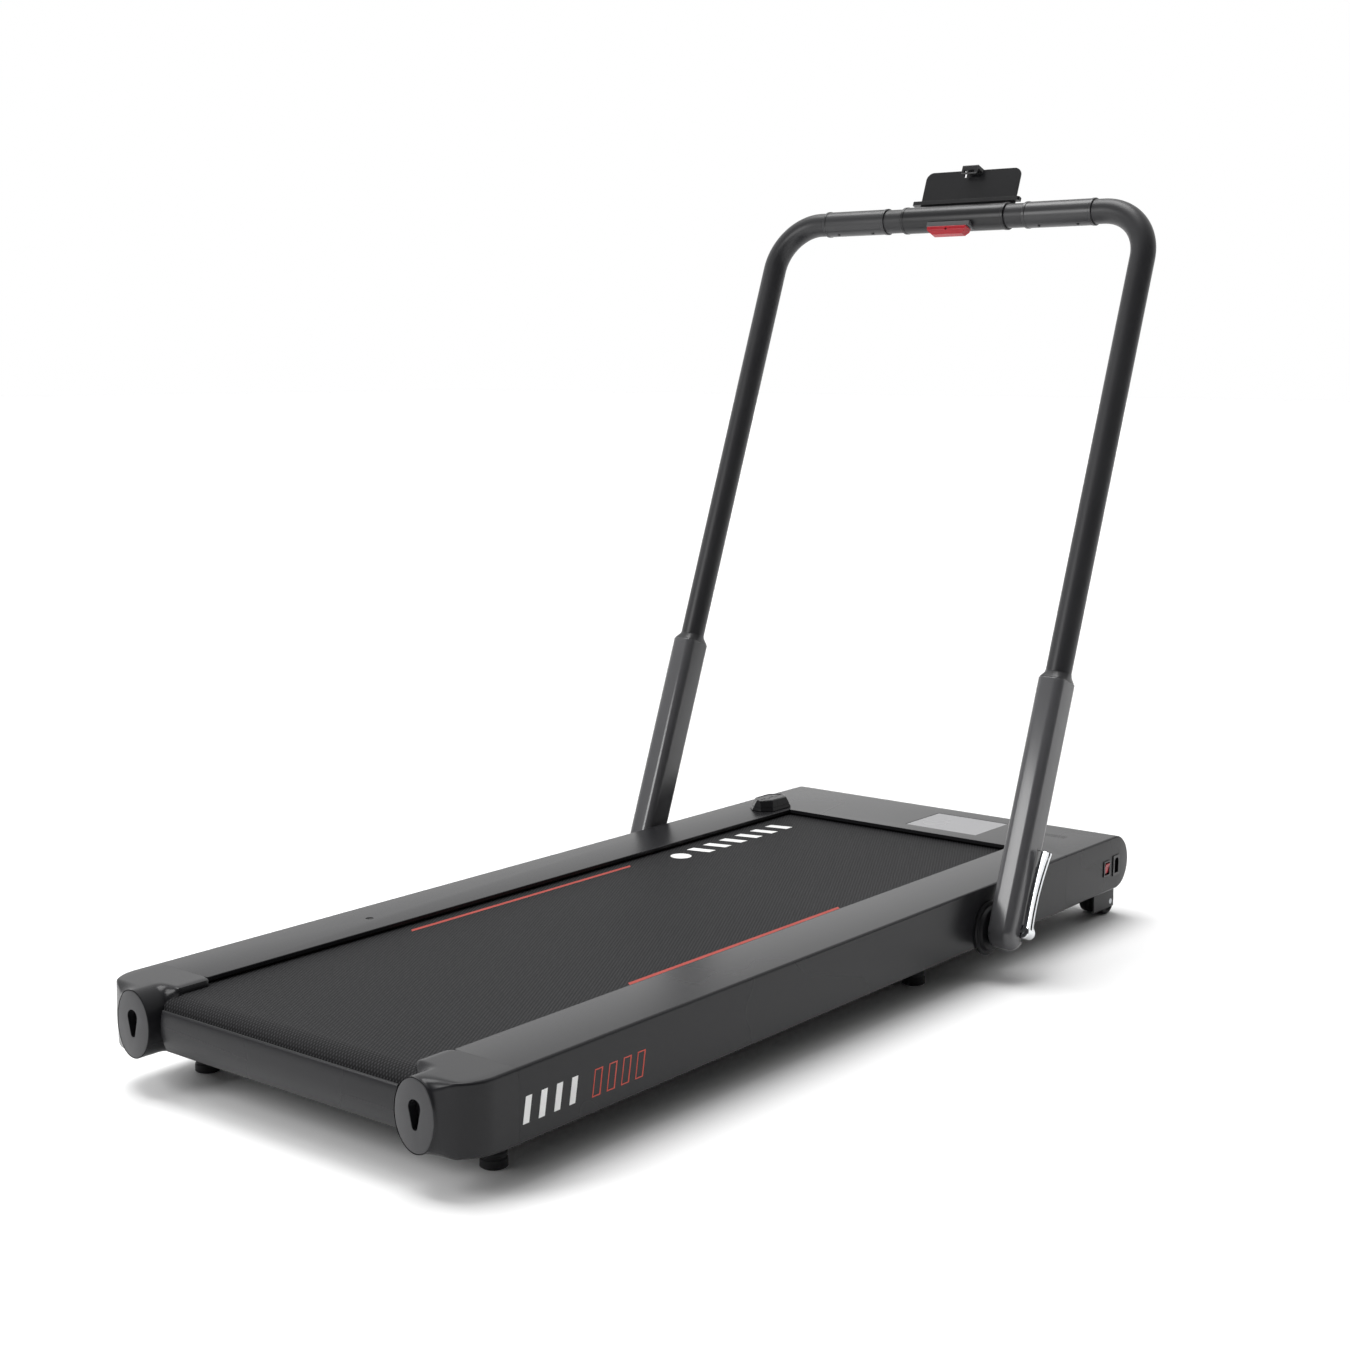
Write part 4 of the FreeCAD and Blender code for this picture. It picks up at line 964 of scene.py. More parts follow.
@dataclass(frozen=True)
class SideRails:
    """The two long covers beside the belt.

    Attributes:
        corner: Radius of the upper outer edge.
        seam: Gap to the end cap and the hood.
        lip: Depth of the lip over the belt.
        oil: Place of the oiling hole in X and Y.
    """

    corner: float = 3.5
    seam: float = 0.15
    lip: float = 5.0
    oil: Flat = (-236.0, -332.0)

    def outline(self, side: int) -> list[Flat]:
        """Section of a rail in X and Z.

        Args:
            side: -1 for the left, 1 for the right.

        Returns:
            Corners of the section.
        """
        top, base = DECK_TOP, DECK_BASE
        r = self.corner
        points = [(HALF_WIDTH - 0.8, base), (HALF_WIDTH, base + 0.8)]
        points += arc((HALF_WIDTH - r, top - r), r, 0, 90, 8)
        points += arc((RAIL_INNER + 1, top - 1), 1, 90, 180, 4)
        points += [
            (RAIL_INNER, top - self.lip),
            (RAIL_INNER + SKIN, top - self.lip),
            (RAIL_INNER + SKIN, top - SKIN),
            (HALF_WIDTH - SKIN, top - SKIN),
            (HALF_WIDTH - SKIN, base + SKIN),
            (262, base + SKIN),
            (262, base),
        ]
        return [(side * x, z) for x, z in points]

    def build(self) -> None:
        """Build both rails, their hinge bosses and the oil plug."""
        for side, word in ((-1, "left"), (1, "right")):
            rail = Solid.prism(
                self.outline(side), "Y", CAP_FRONT + self.seam, HOOD_BACK - self.seam
            )
            cutters = [
                Solid.lathe(
                    [(side * 280, 7.4), (side * 290, 7.4)], "X", (0, PIVOT[1], PIVOT[2]), 32
                ).outward()
            ]
            if side < 0:
                x, y = self.oil
                cutters.append(Solid.lathe([(117, 5.0), (124, 5.0)], "Z", (x, y, 0), 32))
            Piece(
                f"{word}_rail_cover",
                "base",
                "shell_plastic",
                SHELL,
                (f"{word}_side_rail",),
            ).place(rail.cut(*cutters))
        self.build_oil_plug()
        self.build_bosses()

    def build_oil_plug(self) -> None:
        """Rubber plug, dished, with a finger groove."""
        x, y = self.oil
        profile = [(118, 4.6), (120.6, 4.9), (121.3, 4.7), (121.4, 4.2), (121.0, 3.2), (120.6, 0.6)]
        plug = Solid.lathe(profile, "Z", (x, y, 0), 32)
        groove = Solid.block((x - 3, x + 3), (y - 0.5, y + 0.5), (120.2, 123))
        Piece("oiling_plug", "base", "black_rubber", BLACK_RUBBER, ("oil_plug",)).place(
            plug.cut(groove)
        )

    def build_bosses(self) -> None:
        """Stepped round boss between each rail and its arm."""
        bosses = Solid()
        for side in (-1, 1):
            profile = [
                (285.2, 36.0),
                (287.5, 36.0),
                (288.6, 34.6),
                (288.8, 31.0),
                (289.3, 30.4),
                (292.6, 29.6),
                (293.8, 28.4),
                (293.9, 8.0),
            ]
            turned = [(side * x, r) for x, r in profile]
            bosses.with_parts(Solid.lathe(turned, "X", (0, PIVOT[1], PIVOT[2]), 64))
        Piece("hinge_boss_pair", "base", "black_plastic", BOSS, ("hinge_bosses",)).place(
            bosses.outward()
        )


@dataclass(frozen=True)
class EndCap:
    """Rear end of a rail: a wide corner outside, and a drum with a keyhole slot inside.

    Attributes:
        inner: Inner edge of the lip beside the belt.
        nub: Rounding where the lip starts.
        corner: Radius of the rear corner seen from above.
        disc: Middle of the drum in X and Z.
        drum: Half width of the drum.
        edge: Radius of the upper outer edge.
        wall: Thickness of the shell.
        turn_over: Where the upper lip turns into the drum, behind the middle of the deck.
        turn_under: The same for the lower half.
        round_under: Where the lower outer edge grows rounder.
        round_end: Where the outer side draws in to the drum.
        squareness: Power of the rounded box that the lip has for a section.
    """

    inner: float = 187.0
    nub: float = 8.0
    corner: float = 50.0
    disc: Flat = (223.0, 82.5)
    drum: float = 29.0
    edge: float = 3.5
    wall: float = 3.0
    turn_over: Flat = (661, 674)
    turn_under: Flat = (658, 671)
    round_under: Flat = (622, 694)
    round_end: Flat = (682, 699.5)
    squareness: int = 16

    def outer_at(self, y: float) -> float:
        """Outer edge at a place along the deck."""
        past = min(max(BACK + self.corner - y, 0.0), self.corner)
        return HALF_WIDTH - self.corner + math.sqrt(self.corner**2 - past**2)

    def inner_at(self, y: float) -> float:
        """Inner edge of the lip at a place along the deck."""
        short = max(self.nub - (CAP_FRONT - y), 0.0)
        return self.inner + self.nub - math.sqrt(max(self.nub**2 - short**2, 0.0))

    def drum_side(self, y: float, inset: float) -> list[Flat]:
        """Inner half of a section, from the bottom up, in X and Z.

        Args:
            y: Place along the deck.
            inset: Distance inside the outer surface.

        Returns:
            Points that pass from the lip's box shape to the round of the drum.
        """
        tall = (DECK_TOP - DECK_BASE) / 2 - inset
        lip = self.disc[0] - self.inner_at(y) - inset
        across = self.drum - inset
        points = []
        for k in range(1, 48):
            angle = math.radians(-90 - 180 * k / 48)
            c, z = math.cos(angle), math.sin(angle)
            power = self.squareness
            boxed = ((abs(c) / lip) ** power + (abs(z) / tall) ** power) ** (-1 / power)
            oval = ((c / across) ** 2 + (z / tall) ** 2) ** -0.5
            share = smooth_step(-y, *(self.turn_over if z > 0 else self.turn_under))
            far = boxed + (oval - boxed) * share
            points.append((self.disc[0] + far * c, self.disc[1] + far * z))
        return points

    def corner_side(self, y: float, inset: float) -> list[Flat]:
        """Outer half of a section, from the top down, in X and Z.

        Args:
            y: Place along the deck.
            inset: Distance inside the outer surface.

        Returns:
            Points that draw in to the drum at the rear.
        """
        top, base, out = DECK_TOP - inset, DECK_BASE + inset, self.outer_at(y) - inset
        x = self.disc[0]
        over = max(self.edge - inset, 0.4)
        under = max(0.8 + 7.0 * smooth_step(-y, *self.round_under) - inset, 0.4)
        points = [(x + (out - over - x) * k / 5, top) for k in range(5)]
        points += arc((out - over, top - over), over, 90, 0, 8)
        low, high = base + under, top - over
        points += [(out, high + (low - high) * k / 7) for k in range(1, 7)]
        points += arc((out - under, base + under), under, 0, -90, 8)
        points += [(x + (out - under - x) * k / 5, base) for k in range(4, -1, -1)]
        share = 0.9 * smooth_step(-y, *self.round_end) ** 1.5
        across, tall = max(out - x, self.drum - inset), (top - base) / 2
        rounded = []
        for a, b in points:
            far = math.hypot(a - x, b - self.disc[1])
            c, z = (a - x) / far, (b - self.disc[1]) / far
            grow = 1 + (((c / across) ** 2 + (z / tall) ** 2) ** -0.5 / far - 1) * share
            rounded.append((x + (a - x) * grow, self.disc[1] + (b - self.disc[1]) * grow))
        return rounded

    def section(self, y: float, inset: float = 0.0) -> list[Point]:
        """One closed section of the right cap at a place along the deck."""
        flat = self.corner_side(y, inset) + self.drum_side(y, inset)
        return [(x, y, z) for x, z in flat]

    def keyhole(self, low: float, high: float) -> Solid:
        """Cutter for the slot: wide above, narrow below.

        Args:
            low: Start of the cutter along the deck.
            high: Its end.

        Returns:
            The cutter.
        """
        x = self.disc[0]
        outline = arc((x, 90.9), 8.5, -12, 192, 24) + arc((x, 71.4), 4.0, 192, 348, 14)
        return Solid.prism(outline, "Y", low, high)

    def build(self, side: int, word: str) -> None:
        """Build the shell, and a black sheet behind its slot as painted shade in the hollow cap;
        the left cap is mirrored.

        Args:
            side: -1 for the left, 1 for the right.
            word: The same side in words, for names.
        """
        levels = [CAP_FRONT - 1.6 * k for k in range(7)] + [-634, -642]
        levels += [BACK + self.corner * (1 - math.sin(math.radians(t))) for t in range(0, 85, 3)]
        outer = [self.section(y) for y in sorted(levels, reverse=True)]
        outer += [self.section(y, inset) for y, inset in ((-698.9, 0.0), (-699.4, 0.9))]
        plate = [self.section(-699.5, 1.4), self.section(-699.8, 1.4), self.section(-699.95, 1.8)]
        inside = Solid.loft(
            [self.section(y, self.wall) for y in (CAP_FRONT + 4, -630, -650, -662, -675, -690)]
        )
        passage = Solid.block(
            (self.inner - 1, 203), (-679.6, CAP_FRONT + 1), (DECK_BASE + 3, BELT_TOP + 1.2)
        )
        shell = Solid.loft(outer).cut(inside, passage, self.keyhole(-706, -680))
        disc = Solid.loft([self.section(-698.6, 1.4), *plate]).cut(self.keyhole(-706, -680))
        # painted shade: a black sheet inside the cap, seen through the keyhole
        shade_sheet = Solid.block((211, 235), (-689.6, -688.2), (62, 104))
        flip = Matrix.Diagonal((side, 1, 1, 1))
        Piece(
            f"{word}_cap_shell", "base", "shell_plastic", SHELL, (f"{word}_end_cap",), crease=40
        ).place(shell.moved(flip).outward())
        # the flat disc takes the ABS painted lighter: painted light
        Piece(f"{word}_cap_disc", "base", "shell_plastic", DISC_PAINTED_LIGHTER).place(
            disc.moved(flip).outward()
        )
        Piece(f"{word}_slot_liner", "base", "black_plastic", TRIM, edge=0.5).place(
            shade_sheet.moved(flip).outward()
        )


@dataclass(frozen=True)
class RearGuard:
    """Bowed panel between the caps.

    Attributes:
        half: Half its width.
        wall: Its thickness.
    """

    half: float = 186.5
    wall: float = 2.5

    def build(self) -> None:
        """Build the panel."""
        face = []
        for k in range(17):
            share = k / 16
            bow = 4 * share * (1 - share) * 5.0
            face.append((-682 - 5 * share - bow + 0.001, 54 + 48 * share))
        face = [(max(y, -694.5), z) for y, z in face]
        inner = [(y + self.wall, z) for y, z in reversed(face)]
        top = [(face[-1][0] + 0.7, face[-1][1] + 0.7), (face[-1][0] + 1.8, face[-1][1] + 0.7)]
        panel = Solid.prism(face + top + inner, "X", -self.half, self.half)
        Piece("rear_guard_panel", "base", "guard_plastic", SHELL, ("rear_guard",), edge=0.4).place(
            panel
        )


@dataclass(frozen=True)
class Hood:
    """Motor hood with its nose, and what shows in it.

    Attributes:
        high: Radius of the upper curve of the nose.
        low: Radius of the lower curve of the nose.
        edge: Rounding along the two sides.
        window: Corners of the display window in X and Y.
        speaker: Middle of the grille in X and Y.
    """

    high: float = 40.0
    low: float = 37.0
    edge: float = 3.0
    window: tuple[Flat, Flat] = ((0.0, 537.0), (120.0, 632.0))
    speaker: Flat = (214.0, 606.0)

    def outline(self, inset: float) -> list[Flat]:
        """Side view of the hood in Y and Z, at a distance inside its skin.

        Args:
            inset: Distance inside the outer surface.

        Returns:
            Corners of the side view.
        """
        points = [(HOOD_BACK + inset, DECK_BASE + inset)]
        points += arc((FRONT - self.low, DECK_BASE + self.low), self.low - inset, -90, 0, 18)
        points += arc((FRONT - self.high, DECK_TOP - self.high), self.high - inset, 0, 90, 20)
        points += [(HOOD_BACK + inset, DECK_TOP - inset)]
        return points

    def grille(self) -> Solid:
        """Cutters for the speaker holes: three rows of nine.

        Returns:
            All the cutters in one solid.
        """
        hole = Solid.lathe([(-3, 1.15), (3, 1.15)], "Z", (0, 0, 0), 16)
        x, y = self.speaker
        return Repeat(9, 3, 4.0, 5.0).make(hole, (x, y, DECK_TOP - 1), SHELL)

    def build(self) -> None:
        """Build the hood shell and its fittings."""
        shell = Solid.prism(self.outline(0), "X", -HALF_WIDTH, HALF_WIDTH).rounded(
            self.edge, 5, lambda a, b: abs(a.x - b.x) < 0.01 and max(a.y, b.y) > HOOD_BACK + 0.1
        )
        room = Solid.prism(self.outline(SKIN), "X", SKIN - HALF_WIDTH, HALF_WIDTH - SKIN)
        rear = Solid.block((-282.5, 282.5), (HOOD_BACK - 1, HOOD_BACK + 4), (41, DECK_TOP - 5))
        floor = Solid.block((-282.5, 282.5), (HOOD_BACK - 1, 655), (40, 47))
        (x0, y0), (x1, y1) = self.window
        glass = Solid.block((x0 - 0.4, x1 + 0.4), (y0 - 0.4, y1 + 0.4), (118, 124))
        switch = Solid.block((280, 288), (623.8, 640.2), (68.8, 89.2))
        inlet = Solid.block((280, 288), (652.8, 669.2), (65.8, 92.2))
        shell = shell.cut(room, rear, floor, glass, switch, inlet, self.grille())
        Piece("hood_shell", "base", "shell_plastic", SHELL, ("motor_hood",)).place(shell)
        pane = Solid.block((x0, x1), (y0, y1), (119.6, 121.7))
        Piece("display_pane", "base", "display_film", WINDOW, ("display_window",), edge=0.5).place(
            pane
        )
        self.build_speaker()
        self.build_sockets()

    def build_speaker(self) -> None:
        """Speaker can under the grille, with a coned paper face."""
        x, y = self.speaker
        profile = [
            (104.5, 12.0),
            (105.0, 15.0),
            (113.0, 17.5),
            (115.0, 20.0),
            (119.4, 20.0),
            (119.4, 18.5),
            (118.4, 18.0),
            (114.5, 7.0),
            (115.5, 5.0),
            (116.2, 1.0),
        ]
        can = Solid.lathe(profile, "Z", (x, y, 0), 48)
        Piece("speaker_can", "base", "guard_plastic", TRIM, ("speaker",)).place(can)

    def build_sockets(self) -> None:
        """Bezel, rocker and mains inlet on the right side of the hood."""
        case = Solid.block((270, 285.1), (624, 640), (69, 89))
        rim = Solid.block((285.1, 286.5), (622.5, 641.5), (67.5, 90.5))
        well = Solid.block((276, 288), (625.5, 638.5), (69.8, 88.2))
        holes = Solid.lathe([(624.5, 1.56), (639.5, 1.56)], "Y", (282.5, 0, 79), 24)
        bezel = case.combined("UNION", rim).cut(well, holes)
        Piece("switch_surround", "base", "black_plastic", TRIM, ("switch_bezel",), edge=0.3).place(
            bezel
        )
        side = [(278.5, 71.6), (284.6, 71.6), (285.4, 79.0), (287.6, 86.4), (278.5, 86.4)]
        rocker = Solid.prism(side, "Y", 626, 638)
        pin = Solid.lathe([(624.7, 1.5), (639.3, 1.5)], "Y", (282.5, 0, 79), 24)
        rocker = rocker.combined("UNION", pin)
        Piece(
            "switch_rocker", "rocker", "red_plastic", KEY_RED, ("power_rocker",), edge=0.35
        ).place(rocker)
        shell = Solid.block((262, 285.1), (653, 669), (66, 92))
        flange = Solid.block((285.1, 286.5), (651, 671), (64, 94))
        socket_outline = [(655.2, 68), (666.8, 68), (666.8, 87), (664, 90), (658, 90), (655.2, 87)]
        socket = Solid.prism(socket_outline, "X", 269, 288)
        case = shell.combined("UNION", flange).cut(socket)
        for level in (72, 79, 86):
            case.with_parts(Solid.block((267, 281), (660, 662), (level - 2, level + 2)))
        Piece("mains_inlet", "base", "black_plastic", TRIM, ("power_inlet",), edge=0.3).place(case)


@dataclass(frozen=True)
class Belt:
    """Endless belt with its foot lines and decorative bars.

    Attributes:
        half: Half its width.
        outer: Radius of the outside where it wraps a roller.
        inner: Radius of the inside where it wraps a roller.
        front: Place of the front roller along the deck.
        rear: Place of the rear roller along the deck.
        level: Height of the rollers.
        line_x: Middle of a foot line across the belt.
        line: Both ends of a foot line along the belt.
        edge: Size of the rounded edge.
    """

    half: float = 200.0
    outer: float = 23.1
    inner: float = 21.3
    front: float = 540.0
    rear: float = -655.0
    level: float = 90.9
    line_x: float = 175.4
    line: Flat = (-321.0, 104.0)
    edge: float = 0.6

    def loop(self, radius: float) -> list[Flat]:
        """Points round the belt in Y and Z, the same number for any radius.

        Args:
            radius: Radius where the loop wraps a roller.

        Returns:
            The points, in order.
        """
        points = arc((self.front, self.level), radius, 90, -90, 28)
        points += [(self.front - 100 * k, self.level - radius) for k in range(1, 12)]
        points += arc((self.rear, self.level), radius, 270, 90, 28)
        points += [(self.rear + 100 * k, self.level + radius) for k in range(1, 12)]
        return points

    def build(self) -> None:
        """Build the belt, mapped in metres, and its print."""
        outside, inside = self.loop(self.outer), self.loop(self.inner)
        count = len(outside)
        mesh = bmesh.new()
        layer = mesh.loops.layers.uv.new("weave")
        bend = self.near_points(outside, inside)
        columns = [
            (-self.half, inside),
            (-self.half, bend),
            (-self.half + self.edge, outside),
            (self.half - self.edge, outside),
            (self.half, bend),
            (self.half, inside),
        ]
        rows = [
            [mesh.verts.new((x * MM, y * MM, z * MM)) for y, z in points] for x, points in columns
        ]
        run = [0.0]
        for k in range(count):
            a, b = outside[k], outside[(k + 1) % count]
            run.append(run[-1] + math.hypot(b[0] - a[0], b[1] - a[1]) * MM)
        for number, row in enumerate(rows):
            following = rows[(number + 1) % len(rows)]
            for k in range(count):
                far = (k + 1) % count
                face = mesh.faces.new((row[k], row[far], following[far], following[k]))
                along = (run[k], run[k + 1], run[k + 1], run[k])
                for loop, distance in zip(face.loops, along):
                    loop[layer].uv = (loop.vert.co.x, distance)
        bmesh.ops.recalc_face_normals(mesh, faces=mesh.faces)
        thing = Solid(mesh).loose_object("walking_belt")
        Piece("walking_belt", "base", "belt_pvc", BELT, ("running_belt",)).dress(thing)
        self.build_print()

    def near_points(self, outside: list[Flat], inside: list[Flat]) -> list[Flat]:
        """A loop a little inside the outer one, for the rounded edge.

        Args:
            outside: Points of the outer loop.
            inside: Points of the inner loop.

        Returns:
            Points between the two.
        """
        share = self.edge / (self.outer - self.inner)
        return [
            (a[0] + (b[0] - a[0]) * share, a[1] + (b[1] - a[1]) * share)
            for a, b in zip(outside, inside)
        ]

    def build_print(self) -> None:
        """Red foot lines, and a generic mark of a white dot and bars."""
        z0, z1 = BELT_TOP - 0.05, BELT_TOP + 0.06
        lines = Solid()
        for side in (-1, 1):
            x, (y0, y1) = side * self.line_x, self.line
            ends = [(x - 3.2, y0 + 5), (x + 3.2, y0), (x + 3.2, y1 - 5), (x - 3.2, y1)]
            lines.with_parts(Solid.prism(ends, "Z", z0, z1))
        Piece("foot_lines", "base", "belt_pvc", BELT_RED).place(lines.outward())
        bars = Solid.lathe([(z0, 15.0), (z1, 15.0)], "Z", (-157, 192, 0), 48)
        for k in range(6):
            y = 226 + 38 * k
            bars.with_parts(
                Solid.prism([(-174, y), (-140, y + 9), (-140, y + 25), (-174, y + 16)], "Z", z0, z1)
            )
        Piece("belt_mark", "base", "belt_pvc", WHITE_INK).place(bars.outward())


@dataclass(frozen=True)
class SidePrint:
    """Generic print near the rear of the right rail: solid white bars, outlined red bars.

    Attributes:
        proud: How far the ink stands off the plastic.
    """

    proud: float = 0.08

    def build(self) -> None:
        """Build the print."""
        x0, x1 = HALF_WIDTH - 0.1, HALF_WIDTH + self.proud
        white = Solid()
        for k in range(4):
            white.with_parts(
                Solid.prism(slanted_bar((-612 + 23 * k, 62), 9, 28, 5), "X", x0, x1)
            )
        Piece("side_mark_white", "base", "shell_plastic", WHITE_INK).place(white.outward())
        red = Solid()
        for k in range(4):
            y = -508 + 23 * k
            outer = slanted_bar((y, 60), 13, 29, 5)
            inner = slanted_bar((y + 1.7, 61.3), 9.6, 26.4, 4.6)
            frame_bar = Solid.prism(outer, "X", x0, x1).cut(
                Solid.prism(inner, "X", x0 - 1, x1 + 1)
            )
            red.with_parts(frame_bar)
        Piece("side_mark_red", "base", "shell_plastic", RED_INK).place(red.outward())


# --------------------------------------------------------------------------- handrail


@dataclass(frozen=True)
class Tube:
    """U-shaped handrail tube.

    Attributes:
        radius: Outside radius.
        bend: Bend radius on the centre line.
        foot: Lower end above the pivot.
    """

    radius: float = 17.5
    bend: float = 72.0
    foot: float = 130.0

    def path(self) -> list[Vector]:
        """Centre line from one foot to the other.

        Returns:
            Points of the centre line, in the handrail's own frame.
        """
        shoulder, reach = BAR - self.bend, TUBE_X - self.bend
        points = [(-TUBE_X, self.foot), (-TUBE_X, 600.0)]
        points += arc((-reach, shoulder), self.bend, 180, 90, 24)
        points += [(0.0, BAR)]
        points += arc((reach, shoulder), self.bend, 90, 0, 24)
        points += [(TUBE_X, 600.0), (TUBE_X, self.foot)]
        return [Vector((x, 0, w)) for x, w in points]

    def build(self) -> None:
        """Build the tube."""
        tube = Solid.sweep(self.path(), Vector((0, 1, 0)), self.radius, 64)
        Piece("handrail_u_tube", "handrail", "tube_paint", TUBE, ("handrail_tube",)).place(
            tube, UPRIGHT
        )


@dataclass(frozen=True)
class Arm:
    """Cast sleeve that holds a tube end and carries a release lever.

    Attributes:
        inner: Inner face.
        half: Half its depth.
        top: Its upper end above the pivot.
        round: Rounding of the long edges.
    """

    inner: float = 294.3
    half: float = 25.0
    top: float = 342.0
    round: float = 11.5

    def build(self, side: int, word: str) -> None:
        """Build an arm with its lever recess, collar and tube socket.

        Args:
            side: -1 for the left, 1 for the right.
            word: The same side in words, for names.
        """
        outline = [(-self.half, self.top)] + arc((0, 0), self.half, 180, 360, 28)
        outline += [(self.half, self.top)]
        low, high = sorted((side * self.inner, side * ARM_OUTER))
        body = Solid.prism(outline, "X", low, high)

        def along(a: Vector, b: Vector) -> bool:
            """True for the long edges, and not for the upper end."""
            return abs(a.x - b.x) < 0.01 and min(a.z, b.z) < self.top - 1

        body = body.rounded(self.round, 8, along)
        body = body.rounded(1.2, 3, lambda a, b: min(a.z, b.z) > self.top - 0.01)
        x0, x1 = sorted((side * 324.0, side * 340.0))
        recess = Solid.block((x0, x1), (3, 27), (-10, 114))
        centre = (side * TUBE_X, 0, 0)
        socket = Solid.lathe([(self.top - 14, 18.2), (self.top + 3, 18.2)], "Z", centre, 48)
        body = body.cut(recess, socket)
        casting = f"{word}_arm_casting"
        # the casting takes the arm paint painted lighter: painted reflection
        Piece(casting, "handrail", "arm_paint", ARM, (f"{word}_arm",), crease=30).place(
            body, UPRIGHT
        )
        self.build_collar(side, word)
        # painted shade: a black sheet on the floor of the lever recess, in place of the arm paint
        shade_sheet = Solid.block(tuple(sorted((side * 323.2, side * 324.6))), (4, 24.2), (-9, 113))
        Piece(f"{word}_recess_liner", "handrail", "arm_paint", TRIM, edge=0.4).place(shade_sheet, UPRIGHT)

    def build_collar(self, side: int, word: str) -> None:
        """Sloping collar that closes the arm round the tube.

        Args:
            side: -1 for the left, 1 for the right.
            word: The same side in words, for names.
        """
        wide, deep = (ARM_OUTER - self.inner) / 2, self.half
        levels = ((-2.0, 2.2), (0.6, 2.2), (1.4, 2.8), (9.0, 8.6), (10.6, 9.8), (11.0, 11.0))
        rings = []
        for rise, shrink in levels:
            share = smooth_step(rise, 0.0, 10.0)
            ring = []
            for k in range(64):
                angle = math.tau * k / 64
                c, q = math.cos(angle), math.sin(angle)
                power = 5.0 - 3.0 * share
                a = wide - min(shrink, wide - 18.0)
                b = deep - 2.2 - (deep - 2.2 - 18.2) * share
                far = (abs(c / a) ** power + abs(q / b) ** power) ** (-1 / power)
                ring.append((side * TUBE_X + far * c, far * q, self.top + rise))
            rings.append(ring)
        centre = (side * TUBE_X, 0, 0)
        bore = Solid.lathe([(self.top - 4, 17.55), (self.top + 14, 17.55)], "Z", centre, 64)
        Piece(f"{word}_arm_collar", "handrail", "arm_paint", GRIP).place(
            Solid.loft(rings).cut(bore), UPRIGHT
        )


@dataclass(frozen=True)
class Lever:
    """Chrome release lever: round hub, bowed grooved blade and a lipped tip.

    Attributes:
        pin: Place of the hub across the machine.
        hub_level: Height of the hub above the pivot.
        span: Both edges of the blade along the deck.
        steps: Sections along the blade.
    """

    pin: float = 334.0
    hub_level: float = 4.0
    span: Flat = (4.5, 24.5)
    steps: int = 26

    def faces_at(self, level: float) -> Flat:
        """Inner and outer face of the blade at a height.

        Args:
            level: Height above the pivot.

        Returns:
            Both faces, measured across the machine.
        """
        share = (level - 5) / 105
        outer = 8.5 - 8.62 * share + 13.12 * share**2
        inner_share = max((level - 10) / 103, 0.0)
        inner = -0.2 - 7.0 * inner_share + 11.2 * inner_share**2
        return self.pin + inner, self.pin + min(outer, 12.9)

    def section(self, side: int, level: float, grow: float = 0.0) -> list[Point]:
        """Rounded section with a groove down the outer face.

        Args:
            side: -1 for the left, 1 for the right.
            level: Height above the pivot.
            grow: Extra thickness outward.

        Returns:
            The section.
        """
        inner, outer = self.faces_at(level)
        outer = min(outer + grow, 347.0)
        v0, v1 = self.span
        middle = (v0 + v1) / 2 - 2.0
        points = [(inner + 1.2, v0), (outer - 4.6, v0)]
        for k in range(13):
            v = v0 + 0.3 + (v1 - v0 - 0.6) * k / 12
            crown = 3.4 * abs((v - middle) / (v1 - middle)) ** 2.6
            groove = 1.5 * math.exp(-(((v - middle) / 1.3) ** 4))
            points.append((outer - crown - groove, v))
        points += [(outer - 4.6, v1), (inner + 1.2, v1)]
        points += [(inner, v1 - 1.4), (inner, v0 + 1.4)]
        return [(side * x, v, level) for x, v in points]

    def build(self, side: int, word: str) -> None:
        """Build a lever with its hub and pin hole.

        Args:
            side: -1 for the left, 1 for the right.
            word: The same side in words, for names.
        """
        levels = [3.0, 5.0] + [5 + 104 * k / self.steps for k in range(1, self.steps + 1)]
        rings = [self.section(side, level) for level in levels]
        rings += [self.section(side, 110.2, 0.6), self.section(side, 111.6, 1.0)]
        rings += [self.section(side, 112.8, 0.6)]
        blade = Solid.loft(rings)
        v0, v1 = self.span
        centre = (side * self.pin, 0, self.hub_level)
        hub = Solid.lathe(
            [(v0, 8.2), (v0 + 0.8, 9.0), (v1 - 0.8, 9.0), (v1, 8.2)], "Y", centre, 48
        )
        hole = Solid.lathe([(v0 - 2, 2.56), (v1 + 2, 2.56)], "Y", centre, 24)
        lever = blade.combined("UNION", hub).cut(hole)
        Piece(
            f"{word}_lever_plated",
            f"{word}_release_lever",
            "lever_chrome",
            CHROME,
            (f"{word}_lever",),
            crease=38,
        ).place(lever, UPRIGHT)


